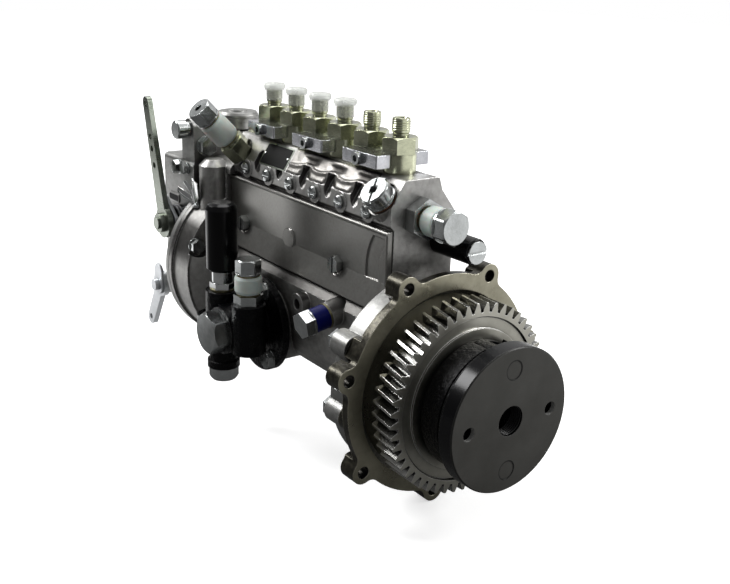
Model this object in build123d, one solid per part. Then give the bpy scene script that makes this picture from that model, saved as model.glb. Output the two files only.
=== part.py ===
from build123d import *
import math
import os

# Six-cylinder in-line diesel injection pump with a mechanical governor, a feed pump and
# a drive gear on an automatic timer. Millimetres. +X is the drive end, +Z is up and the
# origin is on the camshaft axis in the front face of the engine mounting flange.

# Row of pumping elements
cylinder_pitch = 32.0
cylinder_count = 6
drive_end_to_first = 55.0      # flange face to the axis of the drive-end element
case_end_margin = 25.0         # last element axis to the end of the case

# Case section, seen along X
deck_rise = 17.0               # shoulder to the deck under the delivery valve holders
deck_half_width = 14.0
shoulder_rise = 18.0           # roof of the spring chamber to the shoulder
shoulder_half_width = 25.0
chamber_half_width = 22.0      # to the seat of the side cover
back_half_width = 28.0
cambox_half_width = 34.0
cambox_top = 40.0
cambox_bottom = -32.0
cam_bore_radius = 26.0
rear_drum_radius = 68.0        # drum that carries the governor
rear_drum_length = 27.0
rear_drum_wall = 4.0
rear_drum_overlap = 3.0        # drum over the end of the case
rear_lip_radius = 70.0
rear_lip = 4.0
rear_flange_height = 20.0      # centre of the drum above the camshaft
tower_half_width = 30.0        # tower over the drum that guides the rack
tower_rise = 20.0              # rack to the top of the tower
column_radius = 12.0
column_from_case = 12.0        # its centre behind the end of the case
column_from_tower = 4.5        # and in front of the tower

# Spring chamber and side cover
window_floor = 50.0
roof_rise = 8.0                # rack to the roof of the chamber
chamber_back = 24.5
chamber_end_clearance = 0.6    # to the teeth of the end quadrants
gasket_thickness = 0.8
cover_lift = 3.2               # cover thickness at its seat
cover_screw_height = 65.0
cover_screw_from_ends = (56.0, 25.0)
dish_radius = 42.0             # of the crescent pressed into the cover

# Pumping elements
lobe_base_radius = 14.0
lobe_lift = 8.0
lobe_width = 14.0
lobe_phases = (0, 240, 120, 300, 60, 180)
shaft_radius = 12.0
journal_radius = 15.0
bearing_width = 13.0
eccentric_radius = 17.0         # drives the feed pump
eccentric_offset = 4.0
roller_radius = 8.5
roller_width = 9.0
tappet_radius = 13.0
tappet_top = 50.0
spring_wire = 3.2
spring_mean_radius = 10.4
spring_coils = 4.5
seat_thickness = 2.5
plunger_radius = 4.5
barrel_radius = 11.0
barrel_nose_radius = 7.0
sleeve_wall = 2.4
sleeve_height = 12.0
holder_thread_radius = 9.0
holder_collar_radius = 11.0
holder_hex_flats = 22.0
holder_collar_height = 13.0
holder_hex_height = 11.0
outlet_height = 12.0
outlet_radius = 6.0
outlet_bore_radius = 1.5
capped_outlets = 4             # counted from the governor end

# Control rack and its toothed quadrants
rack_module = 1.0
quadrant_teeth = 30            # teeth of the full circle
quadrant_kept = 4              # teeth kept each side of the middle one
rack_height = 90.0
rack_bar = 7.0
rack_backlash = 0.16
rack_travel = 10.5
rack_bore_radius = 5.15

# Clearances
running_clearance = 0.05
seat_clearance = 0.05
free_gap = 0.4
screw_clearance = 0.1

# Engine flange and drive
flange_thickness = 14.0        # through the ears
flange_plate = 6.0             # at the rim between the ears
flange_radius = 76.5
flange_boss_radius = 70.5
flange_recess = 8.0
flange_bore_radius = 62.0
flange_chamfer = 3.5
flange_holes = 7
flange_hole_circle = 157.0
flange_hole_radius = 4.25
flange_first_angle = 62.5
flange_ear_radius = 8.2
flange_bolt_circle = 36.0      # radius
adapter_radius = 69.0
adapter_thickness = 16.0
lug_radius = 9.0
seal_radius = 24.0
gear_module = 2.5
gear_teeth = 50
gear_back = 9.6
gear_width = 18.6
gear_helix = -4.5              # turn of the teeth over the face width, degrees
gear_ring = 55.0
hub_radius = 28.0
hub_core_radius = 20.0
weight_outer_radius = 44.0
weight_inner_radius = 24.0
disc_front = 64.8
disc_thickness = 12.0
disc_radius = 48.2
pin_circle_radius = 33.8
pin_radius = 6.0
puller_thread_radius = 10.0
puller_hole_radius = 4.5
puller_hole_offset = 34.2

# Feed pump
feed_pump_height = -1.0
feed_pump_pad = 4.0
feed_flange_radius = 37.0
feed_flange_thickness = 5.5
feed_stud_circle = 30.0        # radius
feed_stud_angles = (-50, 70, 190)
feed_valve_reach = 63.0        # valve axes out from the camshaft plane
feed_valve_spread = 20.0       # valve axes each side of the piston
feed_plug_height = -38.5       # seat of the lower valve plug
knob_radius = 12.0
knob_base = 40.0
knob_length = 52.0

# Governor
governor_half_width = 45.0
governor_length = 50.0
governor_rise = 16.0           # rack to the top of the governor
governor_floor = -36.0
governor_wall = 4.5
governor_lip = 5.0
governor_corner = 4.0
governor_belly = 38.0
turret_rise = 4.0              # deck to the top of the turret
turret_half_width = 44.0
turret_length = 25.0
cover_plate = 7.0
cap_radius = 17.0
stop_screw_radius = 7.5
stop_screw_length = 12.3
lever_plane = -57.5            # inner face of both levers
lever_thickness = 4.5
speed_pivot = (-294.0, 52.0)
speed_lever_length = 105.0
speed_lever_lean = 14.5
stop_pivot = (-304.0, -5.0)
stop_lever_length = 49.0
stop_lever_lean = 30.0
lever_shaft_radius = 5.0
governor_pivot_z = 16.0
weight_pivot = 21.0
weight_reach = 15.0
sleeve_long = 12.0
sleeve_gap = 0.9               # sleeve to the pad of the inner lever

# Unions and their sleeves
gallery_radius = 5.0
gallery_rise = 10.0            # roof of the chamber to the fuel gallery
inlet_y = -1.5
overflow_margin = 13.6
bleed_margin = 12.0
slant_seat_y = -22.5
slant_rise = 2.5
barrel_screw_drop = 7.0
washer_thickness = 1.5
inlet_sleeve = 13.0
overflow_body = 16.9
overflow_sleeve = 21.0
lube_sleeve_length = 12.0
lube_z = 33.0
lube_tilt = -0.18
lube_margin = 46.0
eye_pitch = 40.0
eye_z = 29.0
stub_radius = 8.0
shaft_thread_radius = 8.0
nut_front = 34.0
nut_seat = 24.0

# Places worked out from the sizes above
window_roof = rack_height + roof_rise
shoulder_height = window_roof + shoulder_rise
deck_height = shoulder_height + deck_rise
holder_hex_base = deck_height + holder_collar_height
holder_hex_top = holder_hex_base + holder_hex_height
outlet_top = holder_hex_top + outlet_height
governor_top = rack_height + governor_rise
turret_top = deck_height + turret_rise
cylinder_x = [-drive_end_to_first - cylinder_pitch * i for i in range(cylinder_count)]
case_front = cylinder_x[0] + case_end_margin
case_rear = cylinder_x[-1] - case_end_margin
rear_face = case_rear - rear_drum_length
rear_bearing_x0 = case_rear - 2.0
gasket_rear = rear_face - gasket_thickness
governor_rear = gasket_rear - governor_length
adapter_front = case_front + adapter_thickness
flange_back = -flange_thickness
pump_middle_x = (cylinder_x[3] + cylinder_x[4]) / 2
nose_radius = lobe_base_radius + lobe_lift
quadrant_tip = rack_module * (quadrant_teeth / 2 + 0.95)
window_end_gap = case_end_margin - quadrant_tip - chamber_end_clearance
tower_top = rack_height + tower_rise
overflow_x = case_rear + overflow_margin
bleed_x = case_front - bleed_margin
slant_seat_z = shoulder_height + slant_rise
inlet_z = window_roof + gallery_rise
barrel_screw_height = shoulder_height - barrel_screw_drop
lube_x = case_front - lube_margin
lube_seat = cambox_half_width + 8.0
eye_x = lube_x - eye_pitch
clamp_base = deck_height + 4.0
clamp_top = holder_hex_base - 0.2
clamp_middle = (clamp_base + clamp_top) / 2
roller_height = nose_radius + roller_radius + free_gap
pitch_radius = rack_module * quadrant_teeth / 2
rack_face = pitch_radius - rack_module
rack_centre = rack_face + rack_bar / 2
barrel_base = window_roof - 6.0
sleeve_base = barrel_base - 7.5
barrel_top = deck_height - 2.0
valve_top = barrel_top + 9.0
gear_front = gear_back + gear_width
gear_outer = gear_module * (gear_teeth + 2) / 2
hub_plate_front = gear_front + 4.0
disc_back = disc_front - disc_thickness
feed_x = pump_middle_x
turret_back = gasket_rear - turret_length
cap_x = turret_back + cap_radius + 1.5
weight_pivot_x = rear_bearing_x0 - 5.0
sleeve_front = weight_pivot_x - weight_reach - 1.5
lever_face = sleeve_front - sleeve_long - sleeve_gap
lever_pin_x = lever_face - 2.0


# Basic solids placed by their ends

def rod_x(x0, x1, radius, y=0.0, z=0.0):
    return Pos(min(x0, x1), y, z) * Rot(0, 90, 0) * Cylinder(
        radius, abs(x1 - x0), align=(Align.CENTER, Align.CENTER, Align.MIN))


def rod_y(y0, y1, radius, x=0.0, z=0.0):
    return Pos(x, max(y0, y1), z) * Rot(90, 0, 0) * Cylinder(
        radius, abs(y1 - y0), align=(Align.CENTER, Align.CENTER, Align.MIN))


def rod_z(z0, z1, radius, x=0.0, y=0.0):
    return Pos(x, y, min(z0, z1)) * Cylinder(
        radius, abs(z1 - z0), align=(Align.CENTER, Align.CENTER, Align.MIN))


def block(x0, x1, y0, y1, z0, z1):
    return Pos((x0 + x1) / 2, (y0 + y1) / 2, (z0 + z1) / 2) * Box(
        abs(x1 - x0), abs(y1 - y0), abs(z1 - z0))


def prism(place, flats, s0, s1, turn=0.0):
    # hexagonal prism along the local Z axis of a place
    face = RegularPolygon(flats / 2, 6, major_radius=False, rotation=turn)
    return place * Pos(0, 0, s0) * extrude(face, s1 - s0)


def round_bar(place, radius, s0, s1):
    return place * Pos(0, 0, s0) * Cylinder(
        radius, s1 - s0, align=(Align.CENTER, Align.CENTER, Align.MIN))


def turned(place, points):
    # solid of revolution about the local Z axis; points are (radius, distance along)
    outline = Polyline(*[(r, s) for r, s in points], close=True)
    face = make_face(outline)
    return place * Rot(90, 0, 0) * revolve(face, Axis.Y)


def along(origin, direction):
    return Location(Plane(origin=origin, z_dir=direction))


def profile_x(points, x0, x1):
    # closed (y, z) outline pushed along X
    wire = Polyline(*points, close=True)
    face = make_face(Plane.YZ.offset(x0) * wire)
    return extrude(face, x1 - x0, dir=(1, 0, 0))


def save(name, *parts):
    solids = []
    for part in parts:
        solids.extend(part.solids())
    shape = solids[0] if len(solids) == 1 else Compound(children=solids)
    export_step(shape, f"parts/{name}.step")
    print(name, len(solids))


# Case

def arc_points(radius, cy, cz, first, last, count):
    return [(cy + radius * math.cos(math.radians(first + (last - first) * i / count)),
             cz + radius * math.sin(math.radians(first + (last - first) * i / count)))
            for i in range(count + 1)]


def case_outline():
    right = deck_half_width
    lower = arc_points(cambox_half_width, 0, cambox_bottom + cambox_half_width, 0, -180, 12)
    seat_foot = chamber_half_width + 6.5
    return [(-right, deck_height), (right, deck_height), (right + 3, shoulder_height + 8),
            (back_half_width, shoulder_height - 6), (back_half_width, cambox_top + 8),
            (cambox_half_width, cambox_top - 2)] + lower + [
            (-cambox_half_width, cambox_top - 2), (-seat_foot, cambox_top + 4),
            (-chamber_half_width, cambox_top + 22), (-chamber_half_width, window_roof + 3),
            (-shoulder_half_width, window_roof + 6), (-shoulder_half_width, shoulder_height)]


def pump_housing():
    case = profile_x(case_outline(), case_rear, case_front)
    top_edges = case.edges().filter_by(Axis.X).sort_by(Axis.Z)[-2:]
    case = fillet(top_edges, 2.5)
    # drum for the governor, blended to the case by a short bell
    centre = rear_flange_height
    drum_front = case_rear + rear_drum_overlap
    case += rod_x(rear_face, drum_front, rear_drum_radius, 0, centre)
    case += rod_x(rear_face, rear_face + rear_lip, rear_lip_radius, 0, centre)
    case += Pos(drum_front, 0, centre) * Rot(0, 90, 0) * Cone(
        rear_drum_radius - 2, cambox_half_width + 8, 14,
        align=(Align.CENTER, Align.CENTER, Align.MIN))
    # tower that carries the rack over the drum, with a round column at its side
    tower = block(rear_face, case_rear + 6, -tower_half_width, tower_half_width, rear_drum_radius - 8,
                  tower_top)
    case += fillet(tower.edges().filter_by(Axis.X).sort_by(Axis.Z)[-2:], 8)
    x, y = case_rear - column_from_case, -tower_half_width - column_from_tower
    case += rod_z(rear_drum_radius - 8, tower_top - 4, column_radius, x, y)
    case += Pos(x, y, tower_top - 4) * Cone(column_radius, column_radius - 5, 5,
                                            align=(Align.CENTER, Align.CENTER, Align.MIN))
    case -= rod_x(rear_face - 1, case_rear, rear_drum_radius - rear_drum_wall, 0, centre)
    case -= lever_pocket(rear_face - 1, rear_face + 6)
    # the flange is cut away in front of the side cover seat
    seat = [(-chamber_half_width, window_roof + 3), (-chamber_half_width, cambox_top + 22),
            (-chamber_half_width - 6.5, cambox_top + 4), (-90, cambox_top + 4), (-90, window_roof + 3)]
    case -= profile_x(seat, case_rear + 0.5, case_front + 1)
    # element bosses along the shoulder, with pockets between them
    for i, x in enumerate(cylinder_x):
        case += rod_y(-shoulder_half_width - 0.6, -8, 7.5, x, barrel_screw_height)
        if i:
            middle = x + cylinder_pitch / 2
            pocket = along((middle, -shoulder_half_width + 1, shoulder_height + 2),
                           (0, -0.84, 0.54))
            case -= pocket * Pos(0, 0, -5) * extrude(SlotOverall(17, 9), 14)
    # bosses of the slanted unions at both ends of the fuel gallery
    for x in (overflow_x, bleed_x):
        case += round_bar(slanted(x), 11.5, -20, 0)
        case -= round_bar(slanted(x), 12.0, 0, 20)
    for x in cylinder_x:
        case -= rod_y(-60, -shoulder_half_width - 0.6, 6.4, x, barrel_screw_height)
    # pad of the feed pump
    case += rod_y(-cambox_half_width - feed_pump_pad, 0, feed_flange_radius - 5, feed_x, feed_pump_height)
    case = case - rod_x(rear_face - 1, case_front + 1, cam_bore_radius + seat_clearance)
    chamber_x0 = case_rear + window_end_gap
    chamber_x1 = case_front - window_end_gap
    case -= block(chamber_x0, chamber_x1, -cambox_half_width - 1, chamber_back,
                  window_floor, window_roof)
    for x in cylinder_x:
        case -= rod_z(10, window_floor + 1, tappet_radius + running_clearance, x)
        case -= rod_z(window_roof - 1, barrel_top, barrel_radius + seat_clearance, x)
        case -= rod_z(barrel_top - 1, deck_height + 1, holder_thread_radius + seat_clearance, x)
        case -= rod_y(-40, -8, 3.0 + screw_clearance, x, barrel_screw_height)
    case -= rod_x(rear_face - 1, case_front + 1, rack_bore_radius, rack_centre, rack_height)
    # fuel gallery beside the barrels, open at the drive end
    case -= rod_x(case_rear + 8, case_front + 1, gallery_radius, inlet_y, inlet_z)
    for x in (overflow_x, bleed_x):
        case -= round_bar(slanted(x), 5.0 + screw_clearance, -24, 1)
    # feed pump opening and stud holes
    case -= rod_y(-cambox_half_width - feed_pump_pad - 1, -10, 15 + seat_clearance,
                  feed_x, feed_pump_height)
    for dx, dz in feed_nut_places():
        case -= rod_y(-cambox_half_width - feed_pump_pad - 1, -cambox_half_width - feed_pump_pad + 4,
                      4 + screw_clearance, feed_x + dx, feed_pump_height + dz)
    # lubrication boss with its through hole and the eye beside it
    case += round_bar(lube_place(), 9.4, lube_seat - cambox_half_width - 22, 0)
    case -= round_bar(lube_place(), 5 + screw_clearance, -34, 1)
    case += rod_y(-lube_seat + 1, -cambox_half_width + 5, 8, eye_x, eye_z)
    case -= rod_y(-lube_seat, -cambox_half_width + 1, 4, eye_x, eye_z)
    # posts with the tapped holes of the side cover
    for x in cover_screws_x():
        post = block(x - 6, x + 6, -chamber_half_width, -chamber_half_width + 5.5,
                     window_floor - 1, window_roof + 1)
        case += post - rod_y(-40, 0, 3 + screw_clearance, x, cover_screw_height)
    # bolts of the governor, put in from the drive end
    for y, z in drum_bolt_places():
        case += rod_x(rear_face, case_rear + 0.4, 7.5, y, z) & \
            rod_x(rear_face, case_rear + 0.4, rear_drum_radius, 0, centre)
        case -= rod_x(rear_face - 1, case_rear + 5, 3 + screw_clearance, y, z)
        case -= rod_x(case_rear + 0.4, case_rear + 16, 9, y, z)
    return case


def lever_pocket(x0, x1):
    # room for the end of the rack and the swing of the inner lever
    pocket = block(x0, x1, rack_centre - 6.5, rack_centre + 6.5, rear_drum_radius, rack_height + 6)
    return pocket + block(x0, x1, rack_centre - 13, rack_centre + 6.5, rear_drum_radius, rack_height - 4)


def drum_bolt_places():
    circle = rear_drum_radius - rear_drum_wall
    return [(circle * math.cos(math.radians(a)), rear_flange_height + circle * math.sin(math.radians(a)))
            for a in (157, 23, 215, 325)]


def lube_place():
    return along((lube_x, -lube_seat, lube_z), (0, -1, lube_tilt))


def cover_screws_x():
    return (case_front - cover_screw_from_ends[0], case_rear + cover_screw_from_ends[1])


# Unions on the fuel gallery: one level at the drive end, two slanted ones on the shoulder

def slanted(x):
    return along((x, slant_seat_y, slant_seat_z), (0, -1, 1))


def cover_outline(lift):
    # follows the seat on the case, lifted off it by the given distance
    slope = 0.7 * lift
    return [(-chamber_half_width - lift, window_roof + 2.2),
            (-chamber_half_width - lift, cambox_top + 22 + slope),
            (-chamber_half_width - 6.5 - lift, cambox_top + 4 + slope)]


def layer_over_window(inner, outer, x0, x1):
    near = cover_outline(inner)
    far = cover_outline(outer)
    return profile_x(near + far[::-1], x0, x1)


def side_cover():
    x0 = case_rear + 1.0
    x1 = case_front - 0.5
    cover = layer_over_window(gasket_thickness, gasket_thickness + cover_lift, x0, x1)
    face_y = -chamber_half_width - gasket_thickness - cover_lift
    # rolled bead along the top edge and up the drive-end edge
    cover += rod_x(x0, x1, 1.4, face_y + 0.4, window_roof + 0.8)
    cover += rod_z(cambox_top + 24, window_roof + 0.8, 1.4, x1 - 1.4, face_y + 0.4)
    # pressed boss in the middle and a dished crescent at the drive end
    middle = (cover_screws_x()[0] + cover_screws_x()[1]) / 2
    cover += rod_y(face_y - 1.0, face_y + 1, 7.5, middle, cover_screw_height + 3)
    dish = rod_y(face_y - 1, face_y + 1.0, dish_radius, x1 + dish_radius - 24, cover_screw_height + 6)
    dish -= rod_y(face_y - 2, face_y + 2, dish_radius - 6, x1 + dish_radius - 16, cover_screw_height + 6)
    keep = block(x0, x1 - 4, face_y - 3, face_y + 3, cambox_top + 25, window_roof - 3)
    cover -= dish & keep
    for x in cover_screws_x():
        cover -= rod_y(-60, 0, 3 + 4 * screw_clearance, x, cover_screw_height)
        cover -= rod_y(-60, face_y, 7.5, x, cover_screw_height)
    return cover


def cover_gasket():
    x0 = case_rear + 1.0
    x1 = case_front - 0.5
    sheet = layer_over_window(0, gasket_thickness, x0, x1)
    opening = block(x0 + 11, x1 - 11, -60, 0, window_floor + 1, window_roof - 2)
    for x in cover_screws_x():
        opening -= block(x - 6, x + 6, -60, 0, window_floor, window_roof)
    sheet -= opening
    for x in cover_screws_x():
        sheet -= rod_y(-60, 0, 3 + 4 * screw_clearance, x, cover_screw_height)
    return sheet


def governor_gasket():
    centre = rear_flange_height
    ring = rod_x(gasket_rear, rear_face, rear_lip_radius, 0, centre)
    ring += block(gasket_rear, rear_face, -tower_half_width, tower_half_width, rear_drum_radius - 8,
                  governor_top - 6)
    ring -= rod_x(gasket_rear - 1, rear_face + 1, rear_drum_radius - rear_drum_wall, 0, centre)
    for y, z in drum_bolt_places():
        ring += (rod_x(gasket_rear, rear_face, 7.5, y, z)
                 & rod_x(gasket_rear, rear_face, rear_drum_radius, 0, centre))
        ring -= rod_x(gasket_rear - 1, rear_face + 1, 3 + screw_clearance, y, z)
    return ring - lever_pocket(gasket_rear - 1, rear_face + 1)


def slotted_hex_screw(place, flats, head, length, radius):
    screw = prism(place, flats, 0, head) + round_bar(place, radius, -length, 0)
    return screw - place * Pos(0, 0, head) * Box(flats * 1.3, 1.6, 3.0)


def cover_screws():
    face_y = -chamber_half_width - gasket_thickness - cover_lift
    return [slotted_hex_screw(along((x, face_y, cover_screw_height), (0, -1, 0)),
                              11, 5.5, 8.5, 3.0) for x in cover_screws_x()]


# Pumping elements

def barrels():
    made = []
    for x in cylinder_x:
        body = rod_z(barrel_base, window_roof, barrel_nose_radius, x)
        body += rod_z(window_roof, barrel_top, barrel_radius, x)
        body -= rod_z(barrel_base - 1, barrel_top + 1, plunger_radius + running_clearance, x)
        # spill port facing the fuel gallery, and the notch of the locating screw
        body -= rod_y(-20, -8.4, 3.2, x, barrel_screw_height)
        made.append(body)
    return made


def delivery_valves():
    made = []
    for x in cylinder_x:
        seat = rod_z(barrel_top, barrel_top + 4, 8.0, x) + rod_z(barrel_top + 4, valve_top, 5.2, x)
        seat += Pos(x, 0, valve_top) * Cone(5.2, 3.0, 3, align=(Align.CENTER, Align.CENTER, Align.MIN))
        made.append(seat)
    return made


def delivery_valve_holders():
    made = []
    for x in cylinder_x:
        place = Location((x, 0, 0))
        body = turned(place, [
            (0, barrel_top + 4), (holder_thread_radius, barrel_top + 4),
            (holder_thread_radius, deck_height), (holder_collar_radius, deck_height + 0.01),
            (holder_collar_radius, holder_hex_base), (outlet_radius - 0.6, holder_hex_base),
            (outlet_radius - 0.6, holder_hex_top + 2), (outlet_radius, holder_hex_top + 2.6),
            (outlet_radius, outlet_top - 0.6), (outlet_radius - 0.6, outlet_top), (0, outlet_top)])
        crown = prism(place, holder_hex_flats, holder_hex_base, holder_hex_top, 12)
        crown &= turned(place, [(0, holder_hex_base), (holder_hex_flats * 0.58, holder_hex_base),
                                (holder_hex_flats * 0.58, holder_hex_top - 1.6),
                                (holder_hex_flats * 0.49, holder_hex_top), (0, holder_hex_top)])
        body += crown
        body -= rod_z(barrel_top, holder_hex_base - 1, 5.2 + free_gap, x)
        body -= rod_z(holder_hex_base - 2, outlet_top + 1, outlet_bore_radius, x)
        body -= Pos(x, 0, outlet_top) * Rot(180, 0, 0) * Cone(
            4.2, outlet_bore_radius, 3.2, align=(Align.CENTER, Align.CENTER, Align.MIN))
        made.append(body)
    return made


def outlet_caps():
    made = []
    for x in cylinder_x[-capped_outlets:]:
        inside = outlet_radius + seat_clearance
        skirt = 1.3
        body = turned(Location((x, 0, 0)), [
            (0, outlet_top + 0.1), (inside, outlet_top + 0.1), (inside, holder_hex_top + 4),
            (inside + skirt, holder_hex_top + 4), (inside + skirt + 0.3, outlet_top),
            (inside + 2.2, outlet_top + 1), (inside + 2.3, outlet_top + 3.2),
            (inside + 1.2, outlet_top + 4.4), (0, outlet_top + 4.8)])
        made.append(body)
    return made


def clamp_pairs():
    xs = sorted(cylinder_x)
    return [(xs[i], xs[i + 1]) for i in range(0, cylinder_count - 1, 2)]


def lock_clamps():
    # one jaw in front and one behind each pair of holders, hollowed to their collars
    made = []
    for x0, x1 in clamp_pairs():
        for side in (-1, 1):
            near = side * (holder_collar_radius - 1.0)
            far = side * (holder_collar_radius + 11.0)
            jaw = block(x0 - 3.5, x1 + 3.5, near, far, clamp_base, clamp_top)
            jaw = fillet(jaw.edges().filter_by(Axis.Z), 1.0)
            for x in (x0, x1):
                jaw -= rod_z(clamp_base - 1, clamp_top + 1, holder_collar_radius + seat_clearance, x)
            jaw -= rod_y(-40, 40, 3.0 + screw_clearance, (x0 + x1) / 2, clamp_middle)
            made.append(jaw)
    return made


def lock_bolts():
    made = []
    for x0, x1 in clamp_pairs():
        middle = (x0 + x1) / 2
        face = holder_collar_radius + 11.0
        place = along((middle, -face, clamp_middle), (0, -1, 0))
        bolt = round_bar(place, 4.2, 0, 3.4) - prism(place, 4.2, 1.2, 4)
        bolt += round_bar(place, 3.0, -2 * face - 3.5, 0)
        bolt += prism(place, 8, -2 * face - 4.2, -2 * face)
        made.append(bolt)
    return made


def tappets():
    made = []
    for x in cylinder_x:
        body = rod_z(roller_height - roller_radius + 1, tappet_top, tappet_radius, x)
        body = body & rod_z(0, 80, tappet_radius, x)
        body -= block(x - roller_width / 2 - free_gap, x + roller_width / 2 + free_gap,
                      -roller_radius - 1, roller_radius + 1, 0, roller_height + roller_radius + 1)
        body += rod_x(x - roller_width / 2 - 2, x + roller_width / 2 + 2, 2.6, 0, roller_height)
        made.append(body)
    return made


def tappet_rollers():
    made = []
    for x in cylinder_x:
        ring = rod_x(x - roller_width / 2, x + roller_width / 2, roller_radius, 0, roller_height)
        made.append(ring - rod_x(x - 20, x + 20, 2.6 + running_clearance, 0, roller_height))
    return made


def lower_seat_top():
    return tappet_top + seat_thickness


def upper_seat_base():
    return sleeve_base - 3.2


def coil_spring(x, z0, z1):
    # square-wire coil with a constant lead between ground ends
    lead = (z1 - z0 - spring_wire) / spring_coils
    path = Helix(pitch=lead, height=z1 - z0 - spring_wire, radius=spring_mean_radius)
    start = Plane(origin=path @ 0, z_dir=path % 0)
    wire = start * Rectangle(spring_wire * 0.8, spring_wire * 0.8)
    coil = sweep(wire, path, is_frenet=True)
    return Pos(x, 0, z0 + spring_wire / 2) * coil


def plunger_springs():
    base = coil_spring(0, lower_seat_top() + 0.2, upper_seat_base() - 0.2)
    return [Pos(x, 0, 0) * base for x in cylinder_x]


def spring_seats():
    made = []
    for x in cylinder_x:
        lower = rod_z(tappet_top, lower_seat_top(), 12.0, x)
        upper = rod_z(upper_seat_base(), upper_seat_base() + 2.2, 12.6, x)
        upper -= rod_z(upper_seat_base() - 1, upper_seat_base() + 4, plunger_radius + 1.2, x)
        made.extend([lower, upper])
    return made


def involute_flank(base, tip_radius, steps):
    # points of one involute from the base circle out to the tip circle
    last = math.sqrt((tip_radius / base) ** 2 - 1)
    points = []
    for i in range(steps + 1):
        t = last * i / steps
        points.append((base * math.hypot(1, t), t - math.atan(t)))
    return points


def tooth_points(module, teeth, backlash, steps, root_radius, tip_radius):
    # (radius, angle) of one tooth from root to root, symmetric about angle 0
    base = module * teeth / 2 * math.cos(math.radians(20))
    pitch = module * teeth / 2
    pressure = math.tan(math.radians(20)) - math.radians(20)
    half = (math.pi * module / 2 - backlash) / 2 / pitch + pressure
    rise = [(r, half - a) for r, a in involute_flank(base, tip_radius, steps)]
    if root_radius < base:
        rise = [(root_radius, half)] + rise
    left = [(r, -a) for r, a in rise]
    return left + rise[::-1]


def quadrant(x):
    # toothed part of the control sleeve, its middle tooth pointing at the rack
    tip = quadrant_tip
    root = pitch_radius - rack_module * 1.25
    tooth = tooth_points(rack_module, quadrant_teeth, rack_backlash, 2, root, tip)
    points = []
    step = 2 * math.pi / quadrant_teeth
    for k in range(quadrant_kept, -quadrant_kept - 1, -1):
        middle = math.pi / 2 + k * step
        points.extend([(r * math.cos(middle - a), r * math.sin(middle - a)) for r, a in tooth])
    end = math.pi / 2 + (quadrant_kept + 0.6) * step
    start = math.pi / 2 - (quadrant_kept + 0.6) * step
    points.append((root * math.cos(start), root * math.sin(start)))
    points.append((0, 0))
    points.append((root * math.cos(end), root * math.sin(end)))
    face = make_face(Polyline(*points, close=True))
    sector = Pos(x, 0, rack_height - rack_bar / 2 + 0.3) * extrude(face, rack_bar - 0.6)
    return sector


def control_sleeve(x):
    inside = barrel_nose_radius + running_clearance
    outside = inside + sleeve_wall
    body = rod_z(sleeve_base, sleeve_base + sleeve_height, outside, x)
    body += quadrant(x)
    body -= rod_z(sleeve_base + 3.5, sleeve_base + 30, inside, x)
    body -= rod_z(sleeve_base - 1, sleeve_base + 30, plunger_radius + 0.9, x)
    body -= block(x - 1.6, x + 1.6, -outside - 1, outside - 3, sleeve_base - 1, sleeve_base + 3.6)
    return body


def plunger(x):
    body = rod_z(lower_seat_top(), barrel_top - 2, plunger_radius, x)
    body += rod_z(lower_seat_top(), lower_seat_top() + 2, 6.5, x)
    helix_cut = Pos(x, -plunger_radius, barrel_top - 12) * Rot(0, 35, 0) * Box(14, 3.2, 3.4)
    body -= helix_cut
    vane_base = sleeve_base + 0.3
    body += block(x - 1.5, x + 1.5, -7.6, 0, vane_base, vane_base + 2.8)
    return body


def control_rack():
    x1 = case_front + 8.0
    x0 = lever_face + 0.9
    bar = block(x0, x1, rack_face, rack_face + rack_bar,
                rack_height - rack_bar / 2, rack_height + rack_bar / 2)
    half_space = math.pi * rack_module / 4
    depth = 1.25 * rack_module
    slope = math.tan(math.radians(20))
    spaces = []
    for x in cylinder_x:
        for k in range(-quadrant_kept, quadrant_kept + 1):
            middle = x + k * math.pi * rack_module
            wide = half_space + rack_module * slope + 0.1
            narrow = half_space - depth * slope
            points = [(middle - wide, rack_face), (middle + wide, rack_face),
                      (middle + narrow, rack_face + rack_module + depth),
                      (middle - narrow, rack_face + rack_module + depth)]
            face = make_face(Polyline(*points, close=True))
            spaces.append(Pos(0, 0, rack_height - rack_bar) * extrude(face, 2 * rack_bar))
    return bar - spaces


# Camshaft and its bearings

def cam_lobe(x, phase):
    nose = lobe_base_radius * 0.42
    base_circle = Circle(lobe_base_radius)
    nose_circle = Pos(0, nose_radius - nose) * Circle(nose)
    outline = make_hull(base_circle.edges() + nose_circle.edges())
    plane = Plane.YZ.offset(x - lobe_width / 2)
    return Rot(phase, 0, 0) * extrude(plane * outline, lobe_width, dir=(1, 0, 0))


def camshaft():
    shaft = rod_x(lever_face + 4.0, rear_bearing_x0, stub_radius)
    shaft += rod_x(rear_bearing_x0, rear_bearing_x0 + bearing_width + 2, journal_radius)
    shaft += rod_x(rear_bearing_x0 + bearing_width, case_front, shaft_radius)
    shaft += rod_x(case_front - 2, flange_back + 8, journal_radius)
    taper = Pos(flange_back + 8, 0, 0) * Rot(0, 90, 0) * Cone(
        journal_radius - 1, journal_radius - 4, 26, align=(Align.CENTER, Align.CENTER, Align.MIN))
    shaft += taper
    shaft += rod_x(flange_back + 33, nut_front + 2, shaft_thread_radius)
    for x, phase in zip(cylinder_x, lobe_phases):
        shaft += cam_lobe(x, phase)
    shaft += rod_x(feed_x - 6, feed_x + 6, eccentric_radius, eccentric_offset, 0)
    return shaft


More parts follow.
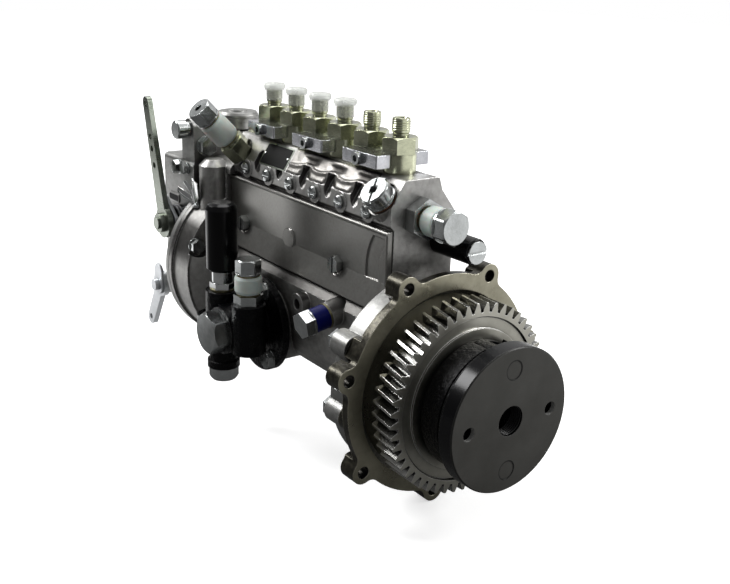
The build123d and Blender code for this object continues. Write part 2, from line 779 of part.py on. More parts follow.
def camshaft_bearings():
    made = []
    for x0 in (rear_bearing_x0, case_front):
        place = along((x0, 0, 0), (1, 0, 0))
        middle = bearing_width / 2
        inner = journal_radius + running_clearance
        ring = turned(place, [(inner, 0), (inner + 3, 0), (inner + 3, 1.5), (cam_bore_radius - 3, 1.5),
                              (cam_bore_radius - 3, 0), (cam_bore_radius, 0),
                              (cam_bore_radius, bearing_width), (cam_bore_radius - 3, bearing_width),
                              (cam_bore_radius - 3, bearing_width - 1.5),
                              (inner + 3, bearing_width - 1.5), (inner + 3, bearing_width),
                              (inner, bearing_width)])
        made.append(ring)
    return made


def shaft_seal():
    inner = journal_radius + running_clearance
    place = along((adapter_front, 0, 0), (1, 0, 0))
    return turned(place, [(inner, 0), (seal_radius, 0), (seal_radius, 6), (seal_radius - 2, 6),
                          (seal_radius - 2, 2), (inner + 2, 2), (inner + 2, 5), (inner, 5)])


# Drive end: adapter, mounting flange and fasteners

def bearing_cover():
    plate = rod_x(case_front, adapter_front, adapter_radius)
    # cast lugs for the bolts that hold the mounting flange
    for y, z in lug_places():
        plate += rod_x(case_front, adapter_front, lug_radius, y, z)
    # clear of the upper case and of the rack and fuel unions
    plate -= block(case_front - 1, adapter_front + 1, -30, 60, adapter_radius - 4, 100)
    plate -= rod_x(case_front - 1, adapter_front + 1, journal_radius + 4)
    plate -= rod_x(case_front - 1, case_front + bearing_width, cam_bore_radius + seat_clearance)
    for y, z in flange_bolt_places() + lug_places():
        plate -= rod_x(case_front - 1, adapter_front + 1, 4 + screw_clearance, y, z)
    return plate


def flange_bolt_places():
    return [(flange_bolt_circle * math.cos(math.radians(a)), flange_bolt_circle * math.sin(math.radians(a)))
            for a in (45, 135, 225, 315)]


def lug_places():
    return [(r * math.cos(math.radians(a)), r * math.sin(math.radians(a)))
            for r, a in ((70.0, 151.5), (66.0, 190.5), (70.0, 28.5), (66.0, 349.5))]


def flange_hole_places():
    return [(flange_hole_circle / 2 * math.cos(math.radians(flange_first_angle + 360 / flange_holes * k)),
             flange_hole_circle / 2 * math.sin(math.radians(flange_first_angle + 360 / flange_holes * k)))
            for k in range(flange_holes)]


def mounting_flange():
    plate = Circle(flange_radius)
    for y, z in flange_hole_places():
        plate += Pos(y, z) * Circle(flange_ear_radius)
    corners = [v for v in plate.vertices() if abs(math.hypot(v.X, v.Y) - flange_radius) < 0.1]
    plate = fillet(corners, 7)
    ring = extrude(Plane.YZ.offset(flange_back) * plate, flange_thickness, dir=(1, 0, 0))
    # the rim is thin between the ears
    relief = Circle(flange_radius + 30) - Circle(flange_boss_radius)
    for y, z in flange_hole_places():
        relief -= Pos(y, z) * Circle(flange_ear_radius + 1.5)
        relief -= Pos(y * 0.92, z * 0.92) * Circle(flange_ear_radius)
    for y, z in lug_places():
        relief -= Pos(y, z) * Circle(lug_radius)
    ring -= extrude(Plane.YZ.offset(flange_back - 1) * relief, flange_thickness - flange_plate + 1,
                    dir=(1, 0, 0))
    ring -= rod_x(-flange_recess, 1, flange_bore_radius)
    bevel = Pos(-flange_chamfer, 0, 0) * Rot(0, 90, 0) * Cone(
        flange_bore_radius, flange_bore_radius + flange_chamfer, flange_chamfer,
        align=(Align.CENTER, Align.CENTER, Align.MIN))
    ring -= bevel
    ring -= rod_x(flange_back - 1, 1, seal_radius + seat_clearance)
    for y, z in flange_hole_places():
        ring -= rod_x(flange_back - 1, 1, flange_hole_radius, y, z)
    for y, z in flange_bolt_places():
        ring -= rod_x(flange_back - 1, 1, 4 + screw_clearance, y, z)
    for y, z in lug_places():
        ring -= rod_x(flange_back - 1, -3, 4 + screw_clearance, y, z)
    return ring


def hex_bolt(place, flats, head, radius, length):
    # head above the seat, shank below it
    bolt = prism(place, flats, 0, head) + round_bar(place, radius, -length, 0.1)
    return bolt + round_bar(place, flats * 0.62, 0, 1.0)


def case_bolts():
    made = []
    for y, z in flange_bolt_places():
        place = along((-flange_recess, y, z), (1, 0, 0))
        made.append(hex_bolt(place, 13, 5.5, 4.0, adapter_thickness + 5.9))
    for y, z in lug_places():
        place = along((case_front, y, z), (-1, 0, 0))
        made.append(hex_bolt(place, 13, 5.0, 4.0, adapter_thickness + 9))
    for x, y, z, direction in governor_bolt_places():
        made.append(hex_bolt(along((x, y, z), direction), 11, 6, 3.5, 11.5))
    for y, z in drum_bolt_places():
        place = along((case_rear + 0.4, y, z), (1, 0, 0))
        made.append(hex_bolt(place, 10, 6, 3.0, rear_drum_length + 5.5))
    return made


def governor_bolt_places():
    side = governor_half_width - 9
    places = []
    for y in (-side, side):
        for z in (governor_top - 14, rear_flange_height):
            places.append((governor_rear - cover_plate, y, z, (-1, 0, 0)))
    for y in (-16, 16):
        places.append((governor_rear - cover_plate, y, governor_floor + 9, (-1, 0, 0)))
    return places


# Drive gear and automatic timer

def gear_section(x, turn):
    tooth = tooth_points(gear_module, gear_teeth, 0.2, 2, gear_module * (gear_teeth / 2 - 1.25), gear_outer)
    points = []
    step = 2 * math.pi / gear_teeth
    for k in range(gear_teeth):
        middle = k * step + math.radians(turn)
        points.extend([(r * math.cos(middle + a), r * math.sin(middle + a)) for r, a in tooth])
    return make_face(Plane.YZ.offset(x) * Polyline(*points, close=True))


def drive_gear():
    # helical teeth, lofted from the back face to the turned front face
    gear = loft([gear_section(gear_back, 0), gear_section(gear_front, gear_helix)], ruled=True)
    place = along((0, 0, 0), (1, 0, 0))
    web_front = gear_front - 4.5
    # stepped rings turned in the front face and a recess behind
    gear -= turned(place, [(gear_ring, gear_front - 1.6), (gear_ring, gear_front + 1),
                           (gear_ring - 7, gear_front + 1), (gear_ring - 7, web_front),
                           (gear_ring - 8.2, web_front), (gear_ring - 8.2, gear_front - 1.6)])
    gear -= turned(place, [(gear_ring, gear_front - 3.4), (gear_ring + 1.0, gear_front - 3.4),
                           (gear_ring + 1.0, gear_front + 1), (gear_ring, gear_front + 1)])
    gear -= turned(place, [(hub_radius + 6, gear_back - 1), (gear_ring - 2, gear_back - 1),
                           (gear_ring - 2, gear_back + 5), (hub_radius + 6, gear_back + 5)])
    gear -= rod_x(gear_back - 1, gear_front + 1, hub_radius + running_clearance)
    return gear


def timer_hub():
    hub = rod_x(gear_back - 5, gear_back - 0.3, hub_radius + 5)
    hub += rod_x(gear_back - 5, gear_front + 0.3, hub_radius)
    hub += rod_x(gear_front + 0.3, hub_plate_front, disc_radius - 7)
    hub += rod_x(hub_plate_front, disc_back, hub_core_radius)
    bore = Pos(flange_back + 8, 0, 0) * Rot(0, 90, 0) * Cone(
        journal_radius - 1 + seat_clearance, journal_radius - 4 + seat_clearance, 26,
        align=(Align.CENTER, Align.CENTER, Align.MIN))
    hub -= bore
    hub -= rod_x(gear_back - 6, gear_back - 4.9, journal_radius)
    hub -= rod_x(flange_back + 33, disc_back + 1, shaft_thread_radius + 1)
    hub -= rod_x(nut_seat, disc_back + 1, 14)
    for z in (pin_circle_radius, -pin_circle_radius):
        hub -= rod_x(gear_front - 1, hub_plate_front + 1, pin_radius + seat_clearance, 0, z)
    return hub


def shaft_nut():
    place = along((nut_seat, 0, 0), (1, 0, 0))
    nut = prism(place, 22, 0, nut_front - nut_seat)
    return nut - round_bar(place, shaft_thread_radius + seat_clearance, -1, 20)


def timer_weight():
    # crescent of constant section, pivoted at its upper end
    ring = Circle(weight_outer_radius) - Circle(weight_inner_radius)
    far = 2 * weight_outer_radius
    wedge = Polyline(*[(far * math.cos(math.radians(a)), far * math.sin(math.radians(a)))
                       for a in (100, 140, 180, 220, 242)], (0, 0), close=True)
    sector = ring & make_face(wedge)
    eye = Pos(0, pin_circle_radius) * Circle(9.5)
    bridge = Pos(-6, pin_circle_radius) * Rectangle(12, 15)
    outline = sector + eye + (bridge & Circle(weight_outer_radius))
    outline -= Pos(0, pin_circle_radius) * Circle(pin_radius + running_clearance)
    weight = extrude(Plane.YZ.offset(hub_plate_front + 0.3) * outline,
                     disc_back - hub_plate_front - 0.6, dir=(1, 0, 0))
    # turned groove round the outside and the relief near the disc
    place = along((0, 0, 0), (1, 0, 0))
    weight -= turned(place, [(weight_outer_radius - 1.5, disc_back - 5.5),
                             (weight_outer_radius + 9, disc_back - 5.5),
                             (weight_outer_radius + 9, disc_back - 4.3),
                             (weight_outer_radius - 1.5, disc_back - 4.3)])
    return weight


def timer_pins():
    made = []
    for z in (pin_circle_radius, -pin_circle_radius):
        made.append(rod_x(gear_front + 0.5, disc_front - 0.3, pin_radius, 0, z))
    return made


def timer_disc():
    disc = rod_x(disc_back, disc_front, disc_radius)
    disc = chamfer(disc.edges().filter_by(GeomType.CIRCLE), 0.8)
    disc -= rod_x(disc_back - 1, disc_front + 1, puller_thread_radius)
    for y in (puller_hole_offset, -puller_hole_offset):
        disc -= rod_x(disc_back - 1, disc_front + 1, puller_hole_radius, y, 0)
    for z in (pin_circle_radius, -pin_circle_radius):
        disc -= rod_x(disc_back - 1, disc_front + 1, pin_radius + seat_clearance, 0, z)
    return disc


# Rack cap and fuel unions

def rack_cap():
    x1 = 5.6
    cap = rod_x(case_front, x1, 9.0, rack_centre, rack_height)
    cap = fillet(cap.edges().filter_by(GeomType.CIRCLE).sort_by(Axis.X)[-1:], 1.2)
    return cap - rod_x(case_front - 1, x1 - 4, rack_bore_radius + 1, rack_centre, rack_height) - \
        rod_x(x1 - 4.1, x1 + 1, 6.0 + seat_clearance, rack_centre, rack_height)


def rack_cap_plug():
    plug = rod_x(2.0, 7.2, 6.0, rack_centre, rack_height)
    plug += rod_x(5.6, 7.2, 7.6, rack_centre, rack_height)
    return plug - block(4.6 + 1.6, 8, rack_centre - 9, rack_centre + 9,
                        rack_height - 0.8, rack_height + 0.8)


def inlet_place():
    return along((case_front, inlet_y, inlet_z), (1, 0, 0))


def union_places():
    # place, start of the lower washer, hexagon across flats, sleeve length, head length
    return [(inlet_place(), 9.5, 21.0, inlet_sleeve, 11.0),
            (slanted(overflow_x), overflow_body, 18.0, overflow_sleeve, 12.5),
            (along((feed_x + feed_valve_spread, -feed_valve_reach, 24), (0, 0, 1)), 7.5, 17.0,
             inlet_sleeve, 11.0)]


def union_bolts():
    made = []
    for place, start, flats, sleeve, head in union_places():
        top = start + sleeve + 2 * washer_thickness
        bolt = turned(place, [(0, top), (flats * 0.56, top), (flats * 0.56, top + head - 1.2),
                              (flats * 0.49, top + head), (0, top + head)])
        bolt &= prism(place, flats, top, top + head)
        bolt += round_bar(place, flats * 0.55, top, top + 1.2)
        bolt += round_bar(place, 4.6, start - 8, top)
        if sleeve > inlet_sleeve:
            bolt -= round_bar(place, 3.0, top + head - 5, top + head + 1)
        made.append(bolt)
    made.append(lube_bolt())
    return made


def lube_bolt():
    place = lube_place() * Pos(0, 0, lube_sleeve_length + washer_thickness)
    bolt = prism(place, 17, 0, 8) + round_bar(place, 9.2, 0, 1.2)
    return bolt + round_bar(place, 4.8, -lube_sleeve_length - 14, 0.1)


def union_sleeves():
    made = []
    for place, start, flats, sleeve, head in union_places():
        s0 = start + washer_thickness
        s1 = s0 + sleeve
        ring = turned(place, [(5.2, s0), (9.2, s0), (10.2, s0 + 2), (10.2, s1 - 2), (9.2, s1), (5.2, s1)])
        made.append(ring)
    return made


def lube_sleeve():
    place = lube_place() * Pos(0, 0, washer_thickness)
    length = lube_sleeve_length
    return turned(place, [(5.0, 0), (8.6, 0), (8.6, length), (5.0, length)])


def seal_washers():
    made = []
    for place, start, flats, sleeve, head in union_places():
        for s0 in (start, start + washer_thickness + sleeve):
            ring = round_bar(place, 8.6, s0, s0 + washer_thickness)
            made.append(ring - round_bar(place, 4.9, s0 - 1, s0 + 3))
    place = lube_place()
    made.append(round_bar(place, 9.0, 0, washer_thickness) - round_bar(place, 5.1, -1, 3))
    place = slanted(bleed_x)
    made.append(round_bar(place, 9.6, 0, 1.6) - round_bar(place, 5.1, -1, 3))
    place = along((feed_x - feed_valve_spread, -feed_valve_reach, 24), (0, 0, 1))
    made.append(round_bar(place, 9.6, 0, 1.4) - round_bar(place, 6.2, -1, 3))
    return made


def union_nuts():
    # hexagonal bodies that the unions screw into
    made = []
    nut = prism(inlet_place(), 24, 0, 9.5) + round_bar(inlet_place(), 5 - seat_clearance, -8, 1)
    made.append(nut - round_bar(inlet_place(), 4.7, -20, 20))
    place = union_places()[2][0]
    made.append(prism(place, 19, 0, 7.5) - round_bar(place, 4.7, -20, 20))
    return made


def overflow_valve():
    place = slanted(overflow_x)
    body = prism(place, 19, 0, overflow_body - 2) + round_bar(place, 9.2, 0, overflow_body)
    body += round_bar(place, 5.0, -14, 0)
    return body - round_bar(place, 4.7, overflow_body - 8.5, 30)


def bleed_screw():
    place = slanted(bleed_x)
    head = turned(place, [(0, 1.6), (10.5, 1.6), (10.5, 3.0), (9.6, 3.4), (9.6, 7.5), (10.6, 8.0),
                          (10.6, 11.0), (9.6, 12.2), (0, 12.2)])
    head -= place * Pos(0, 0, 12.2) * Rot(0, 0, 25) * Box(24, 1.8, 3.0)
    head -= place * Pos(0, 0, 12.2) * Rot(0, 0, 25) * Box(6, 6, 8)
    return head + round_bar(place, 5.0, -14, 1.7)


def barrel_screws():
    made = []
    for x in cylinder_x:
        place = along((x, -shoulder_half_width - 0.6, barrel_screw_height), (0, -1, 0))
        screw = turned(place, [(0, 0), (4.8, 0), (4.8, 1.6), (3.8, 2.8), (0, 3.4)])
        screw -= place * Pos(0, 0, 3.4) * Box(1.4, 12, 2.4)
        made.append(screw + round_bar(place, 3.0, -shoulder_half_width + 9, 0.1))
    return made


# Feed pump

def feed_pump_body():
    seat = -cambox_half_width - feed_pump_pad
    x, z = feed_x, feed_pump_height
    body = rod_y(seat - feed_flange_thickness, seat, feed_flange_radius, x, z)
    body += rod_y(seat - 38, seat - feed_flange_thickness, 18, x, z)
    reach = -feed_valve_reach
    spread = feed_valve_spread
    body += rod_z(-20, 24, 13, x - spread, reach)
    body += rod_z(-14, 24, 12.5, x + spread, reach)
    body += block(x - spread, x + spread, reach - 9, reach + 12, -16, 16)
    body += rod_z(feed_plug_height, -18, 11, x - spread, reach)
    body += rod_z(feed_plug_height, feed_plug_height + 5.5, 12.6, x - spread, reach)
    body -= rod_y(seat - 40, seat - 24, 13, x, z)
    body -= rod_z(14, 25, 4.7, x + spread, reach)
    body -= rod_z(12, 25, 6.2, x - spread, reach)
    body -= rod_z(feed_plug_height - 1, -22, 6.1, x - spread, reach)
    for dx, dz in feed_nut_places():
        body -= rod_y(seat - feed_flange_thickness - 1, seat + 1, 4 + screw_clearance, x + dx, z + dz)
    # spigot into the case
    body += rod_y(seat, seat + 8, 15, x, z) - rod_y(seat - 1, seat + 9, 9, x, z)
    return body


def feed_nut_places():
    return [(feed_stud_circle * math.cos(math.radians(a)), feed_stud_circle * math.sin(math.radians(a)))
            for a in feed_stud_angles]


def feed_pump_plugs():
    seat = -cambox_half_width - feed_pump_pad
    place = along((feed_x, seat - 38, feed_pump_height), (0, -1, 0))
    big = turned(place, [(0, 0.0), (16.5, 0.0), (16.5, 10.5), (14.4, 12.5), (0, 12.5)])
    big &= prism(place, 29, 0, 13, 10)
    big += round_bar(place, 13 - seat_clearance, -12, 0.1)
    low = along((feed_x - feed_valve_spread, -feed_valve_reach, feed_plug_height), (0, 0, -1))
    small = turned(low, [(0, 0), (11.5, 0), (11.5, 8), (9.5, 10.5), (0, 10.5)]) & prism(low, 20, 0, 12)
    small += round_bar(low, 6.0, -14, 0.1)
    return [big, small]


def feed_pump_nuts():
    made = []
    seat = -cambox_half_width - feed_pump_pad
    for dx, dz in feed_nut_places():
        place = along((feed_x + dx, seat - feed_flange_thickness, feed_pump_height + dz), (0, -1, 0))
        nut = prism(place, 13, 1.2, 5.8) + round_bar(place, 7.2, 0, 1.2)
        made.append(nut + round_bar(place, 4.0, -feed_flange_thickness - 3, 6.4))
    return made


def priming_place():
    return along((feed_x - feed_valve_spread, -feed_valve_reach, 24), (0, 0, 1))


def priming_barrel():
    # chromed screw body that the priming plunger slides in
    place = priming_place()
    body = prism(place, 17, 1.4, 6) + round_bar(place, 8.0, 1.4, 15.5)
    body += round_bar(place, 6.1, -10, 1.5)
    return body - round_bar(place, 4.0 + running_clearance, -4, 30)


def priming_knob():
    place = priming_place()
    base = knob_base - 24
    knob = turned(place, [(0, base), (knob_radius - 1.2, base), (knob_radius, base + 1.5),
                          (knob_radius, base + knob_length - 5),
                          (knob_radius - 1.6, base + knob_length - 1.5),
                          (knob_radius - 4.5, base + knob_length), (0, base + knob_length)])
    return knob + round_bar(place, 4.0, -2, base + 0.1)


# Governor

def governor_box(x0, x1, inset):
    # flat sides and top, belly rounded like the drum
    half = governor_half_width - inset
    box = block(x0, x1, -half, half, governor_floor + inset, governor_top - inset)
    edges = box.edges().filter_by(Axis.X).sort_by(Axis.Z)
    box = fillet(edges[:2], governor_belly - inset)
    edges = box.edges().filter_by(Axis.X).sort_by(Axis.Z)
    return fillet(edges[-2:], governor_corner)


def governor_housing():
    wall = governor_wall
    half = governor_half_width - wall
    centre = rear_flange_height
    shell = governor_box(governor_rear, gasket_rear, 0)
    shell += rod_x(gasket_rear - governor_lip, gasket_rear, rear_lip_radius, 0, centre)
    shell += rounded_turret(turret_back, gasket_rear)
    # ribs across the shoulder beside the turret
    for y in (-24, 0, 24):
        shell += block(governor_rear + 3, turret_back + 6, y - 2, y + 2, governor_top - 4, governor_top + 7)
    shell -= governor_box(governor_rear - 1, gasket_rear - governor_lip, wall)
    shell -= rod_x(gasket_rear - governor_lip - 1, gasket_rear + 1, rear_drum_radius - rear_drum_wall - 8,
                   0, centre) & governor_box(governor_rear, gasket_rear + 2, wall)
    inner = turret_half_width - 2 * wall
    shell -= block(turret_back + wall, gasket_rear - wall, -inner, inner,
                   governor_top - wall - 1, turret_top - 8)
    shell -= lever_pocket(gasket_rear - governor_lip - 1, gasket_rear + 1)
    # shaft bosses of the two levers
    for (x, z), reach in ((speed_pivot, 9), (stop_pivot, 9)):
        shell += rod_y(lever_plane + 1.0, -governor_half_width + 1, reach, x, z)
        shell -= rod_y(lever_plane - 1, -governor_half_width + 10,
                       lever_shaft_radius + running_clearance, x, z)
    for x, y, z, direction in governor_bolt_places():
        shell += (rod_x(governor_rear, governor_rear + 14, 6.5, y, z)
                  & governor_box(governor_rear, gasket_rear, 0))
        shell -= rod_x(governor_rear - 1, governor_rear + 5, 3.5 + screw_clearance, y, z)
    for y, z in drum_bolt_places():
        shell -= rod_x(gasket_rear - 4.5, gasket_rear + 1, 3 + screw_clearance, y, z)
    # blind holes for the pin of the inner lever
    shell -= rod_y(-half - 3, half + 3, 2.4 + seat_clearance, lever_pin_x, governor_pivot_z)
    shell -= rod_z(turret_top - 9, turret_top + 1, cap_radius - 5 + seat_clearance, cap_x, 0)
    for place, flats, head in side_screw_places():
        shell -= round_bar(place, 3 + screw_clearance, -8, 1)
    # boss and hole of the full-load stop screw
    place = stop_screw_place()
    shell += round_bar(place, stop_screw_radius + 1, -9, 0) & block(-400, 0, -200, 0, 0, 400)
    return shell - round_bar(place, 4 + screw_clearance, -8, 1)


def stop_screw_place():
    x = turret_back + 16.5
    return along((x, -turret_half_width, turret_top - 5), (0, -1, 0))


def side_screw_places():
    # place, hexagon across flats and head of each screw on the cover side
    side = -governor_half_width
    return [(along((governor_rear + 25, side, governor_top - 7.5), (0, -1, 0)), 10, 6),
            (along((governor_rear + 39, side, governor_top - 6.5), (0, -1, 0)), 8, 5),
            (along((governor_rear + 7.5, side, 9), (0, -1, 0)), 6, 3),
            (along((gasket_rear, -34, turret_top - 18), (1, 0, 0)), 13, 8)]


def governor_screws():
    made = [hex_bolt(place, flats, head, 3.0, 7.5) for place, flats, head in side_screw_places()]
    place = stop_screw_place()
    knob = turned(place, [(0, 0), (stop_screw_radius - 1.5, 0), (stop_screw_radius - 1.5, 4),
                          (stop_screw_radius, 4),
                          (stop_screw_radius, stop_screw_length - 0.8),
                          (stop_screw_radius - 0.8, stop_screw_length), (0, stop_screw_length)])
    made.append(knob + round_bar(place, 4.0, -7, 0.1))
    return made


def rounded_turret(x0, x1):
    box = block(x0, x1, -turret_half_width, turret_half_width, governor_top - 14, turret_top)
    box = fillet(box.edges().filter_by(Axis.Z).sort_by(Axis.X)[:2], 4)
    return fillet(box.edges().group_by(Axis.Z)[-1], 2.5)


def governor_cover():
    plate = governor_box(governor_rear - cover_plate, governor_rear, 0)
    rim = plate.faces().sort_by(Axis.X)[0].edges()
    plate = fillet(rim, 3)
    for x, y, z, direction in governor_bolt_places():
        plate -= rod_x(x - 1, governor_rear + 1, 3.5 + screw_clearance, y, z)
    return plate


def governor_cap():
    place = Location((cap_x, 0, turret_top))
    cap = turned(place, [(0, 0), (cap_radius - 3, 0), (cap_radius - 3, 2.4), (cap_radius, 3.2),
                         (cap_radius, 5.2), (cap_radius - 1.5, 7.4), (cap_radius - 9, 7.4),
                         (cap_radius - 9, 8.6), (0, 8.6)])
    return cap + rod_z(turret_top - 6.5, turret_top + 0.1, cap_radius - 5, cap_x, 0)


def lever_arm(place, length, root_width, tip_width, hub_radius_out, thickness):
    # local X runs along the arm, local Z through the thickness
    arm = Polyline((0, root_width / 2), (length, tip_width / 2), (length, -tip_width / 2),
                   (0, -root_width / 2), close=True)
    face = make_face(arm) + Circle(hub_radius_out) + Pos(length, 0) * Circle(tip_width / 2)
    return place * extrude(face, thickness)


def lever_frame(pivot, lean, up):
    angle = math.radians(lean)
    sign = 1 if up else -1
    direction = (-math.sin(angle), 0, sign * math.cos(angle))
    return Location(Plane(origin=(pivot[0], lever_plane, pivot[1]), x_dir=direction, z_dir=(0, -1, 0)))


def speed_lever():
    place = lever_frame(speed_pivot, speed_lever_lean, True)
    lever = lever_arm(place, speed_lever_length - 5, 15, 10, 13, lever_thickness)
    for reach in (48, 62, 72, speed_lever_length - 6):
        lever -= place * Pos(reach, 0, -1) * Cylinder(2.6, 20)
    lever += round_bar(place, 8, lever_thickness, lever_thickness + 4)
    return lever + lever_shaft(speed_pivot, 20)


def lever_shaft(pivot, inside):
    return rod_y(lever_plane - lever_thickness - 6, -governor_half_width + inside,
                 lever_shaft_radius, pivot[0], pivot[1])


def stop_lever():
    place = lever_frame(stop_pivot, stop_lever_lean, False)
    lever = lever_arm(place, stop_lever_length - 6, 13, 12, 11, lever_thickness)
    lever -= place * Pos(stop_lever_length - 7, 0, -1) * Cylinder(2.6, 20)
    return lever + lever_shaft(stop_pivot, 12)


def governor_carrier():
    # two-armed hub keyed to the end of the camshaft
    x1 = rear_bearing_x0 - 0.5
    carrier = rod_x(x1 - 10, x1, 13)
    carrier += block(x1 - 6, x1, -9, 9, -weight_pivot - 4, weight_pivot + 4)
    for z in (weight_pivot, -weight_pivot):
        carrier += rod_y(-13, 13, 3, weight_pivot_x, z)
    return carrier - rod_x(x1 - 20, x1 + 1, stub_radius + seat_clearance)


def governor_weight(side):
    # the mass swings outward on its pin and its finger pushes the sleeve back
    x0 = weight_pivot_x - weight_reach
    low = side * (weight_pivot - 4.4)
    high = side * (weight_pivot + 9)
    weight = block(x0, weight_pivot_x - 8, -15, 15, min(low, high), max(low, high))
    ears = rod_y(-15, 15, 4.4, weight_pivot_x, side * weight_pivot)
    ears += block(weight_pivot_x - 9, weight_pivot_x, -15, 15, min(low, side * (weight_pivot + 4.4)),
                  max(low, side * (weight_pivot + 4.4)))
    weight += ears - block(weight_pivot_x - 8, weight_pivot_x + 5, -9.6, 9.6, -60, 60)
    weight -= rod_y(-20, 20, 3 + running_clearance, weight_pivot_x, side * weight_pivot)
    tip = side * 11.5
    return weight + block(x0, x0 + 4, -4, 4, min(tip, low), max(tip, low))


def governor_sleeve():
    sleeve = rod_x(sleeve_front - 3, sleeve_front, 13) + rod_x(sleeve_front - sleeve_long, sleeve_front, 10)
    return sleeve - rod_x(sleeve_front - 20, sleeve_front + 1, stub_radius + running_clearance)


def governor_lever():
    # from the pad behind the sleeve, past its pin, up to the end of the rack
    x0 = lever_face - 4
    pad = [(-8, -4), (8, -4), (8, governor_pivot_z + 6), (rack_centre + 4, rack_height - 4),
           (rack_centre + 4, rack_height + 4), (rack_centre - 4, rack_height + 4),
           (rack_centre - 6, rack_height - 4), (-8, governor_pivot_z + 6)]
    lever = profile_x(pad, x0, lever_face)
    # the face is set back above the pad, clear of the sleeve at full travel
    lever -= block(lever_face - 1.6, lever_face + 1, -20, 20, 3, governor_pivot_z)
    lever += rod_y(-8, 8, 4.2, lever_pin_x, governor_pivot_z)
    return lever - rod_y(-20, 20, 2.4 + running_clearance, lever_pin_x, governor_pivot_z)


def lever_pin():
    half = governor_half_width - governor_wall + 3
    return rod_y(-half + 0.1, half - 0.1, 2.4, lever_pin_x, governor_pivot_z)


def write_all():
    os.makedirs("parts", exist_ok=True)
    save("pump_housing", pump_housing())
    save("side_cover", side_cover())
    save("gaskets", cover_gasket(), governor_gasket())
    save("cover_screws", *cover_screws())
    save("barrels", *barrels())
    save("delivery_valves", *delivery_valves())
    save("delivery_valve_holders", *delivery_valve_holders())
    save("outlet_caps", *outlet_caps())
    save("lock_clamps", *lock_clamps())
    save("lock_bolts", *lock_bolts())
    save("tappets", *tappets())
    save("tappet_rollers", *tappet_rollers())
    save("plunger_springs", *plunger_springs())
    save("spring_seats", *spring_seats())
    save("camshaft_bearings", *camshaft_bearings())
    save("bearing_cover", bearing_cover())
    save("shaft_seal", shaft_seal())
    save("mounting_flange", mounting_flange())
    save("case_bolts", *case_bolts(), *governor_screws())
    save("barrel_screws", *barrel_screws())
    save("bleed_screw", bleed_screw())
    save("seal_washers", *seal_washers())
    save("union_bolts", *union_bolts())
    save("union_sleeves", *union_sleeves())
    save("union_nuts", *union_nuts())
    save("rack_cap", rack_cap())
    save("rack_cap_plug", rack_cap_plug())
    save("feed_pump_body", feed_pump_body())
    save("feed_pump_plugs", *feed_pump_plugs())
    save("feed_pump_nuts", *feed_pump_nuts())
    save("priming_barrel", priming_barrel())
    save("lube_sleeve", lube_sleeve())
    save("governor_housing", governor_housing())
    save("governor_cover", governor_cover())
    save("governor_cap", governor_cap())
    save("lever_pin", lever_pin())
    save("overflow_valve", overflow_valve())
    save("camshaft", camshaft())
    save("timer_hub", timer_hub())
    save("timer_disc", timer_disc())
    save("timer_pins", *timer_pins())
    save("shaft_nut", shaft_nut())
    save("drive_gear", drive_gear())
    save("timer_weight_a", timer_weight())
    save("timer_weight_b", Rot(180, 0, 0) * timer_weight())
    save("control_rack", control_rack())
    for i, x in enumerate(cylinder_x):
        save(f"plunger_unit_{i + 1}", plunger(x), control_sleeve(x))
    save("priming_knob", priming_knob())
    save("speed_lever", speed_lever())
    save("stop_lever", stop_lever())
    save("governor_carrier", governor_carrier())
    save("governor_weight_a", governor_weight(1))
    save("governor_weight_b", governor_weight(-1))
    save("governor_sleeve", governor_sleeve())
    save("governor_lever", governor_lever())


write_all()
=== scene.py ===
import bpy
import bmesh
import math
from mathutils import Matrix, Vector


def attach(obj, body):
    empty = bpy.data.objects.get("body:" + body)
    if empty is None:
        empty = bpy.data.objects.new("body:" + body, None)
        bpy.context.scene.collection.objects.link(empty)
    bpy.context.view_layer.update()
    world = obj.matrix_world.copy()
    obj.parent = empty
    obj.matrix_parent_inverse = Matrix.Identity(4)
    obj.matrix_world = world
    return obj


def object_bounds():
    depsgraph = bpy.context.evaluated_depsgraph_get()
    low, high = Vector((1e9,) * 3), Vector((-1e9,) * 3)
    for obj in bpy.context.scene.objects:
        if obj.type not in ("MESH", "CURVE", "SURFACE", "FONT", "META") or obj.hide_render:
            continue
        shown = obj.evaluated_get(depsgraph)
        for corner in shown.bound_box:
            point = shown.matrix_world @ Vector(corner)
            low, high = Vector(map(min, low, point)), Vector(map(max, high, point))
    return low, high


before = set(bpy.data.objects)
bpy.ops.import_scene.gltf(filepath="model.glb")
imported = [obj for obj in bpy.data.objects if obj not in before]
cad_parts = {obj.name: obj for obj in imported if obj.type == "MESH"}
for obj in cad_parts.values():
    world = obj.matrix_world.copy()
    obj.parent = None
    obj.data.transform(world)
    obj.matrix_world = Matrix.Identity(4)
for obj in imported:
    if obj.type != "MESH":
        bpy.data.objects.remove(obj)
cadBox = [list(corner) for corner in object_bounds()]
scene = bpy.context.scene
mm = 0.001
print("frame loaded:", len(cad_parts), "nodes")


# Sockets that can be written in sums, and trees that make nodes

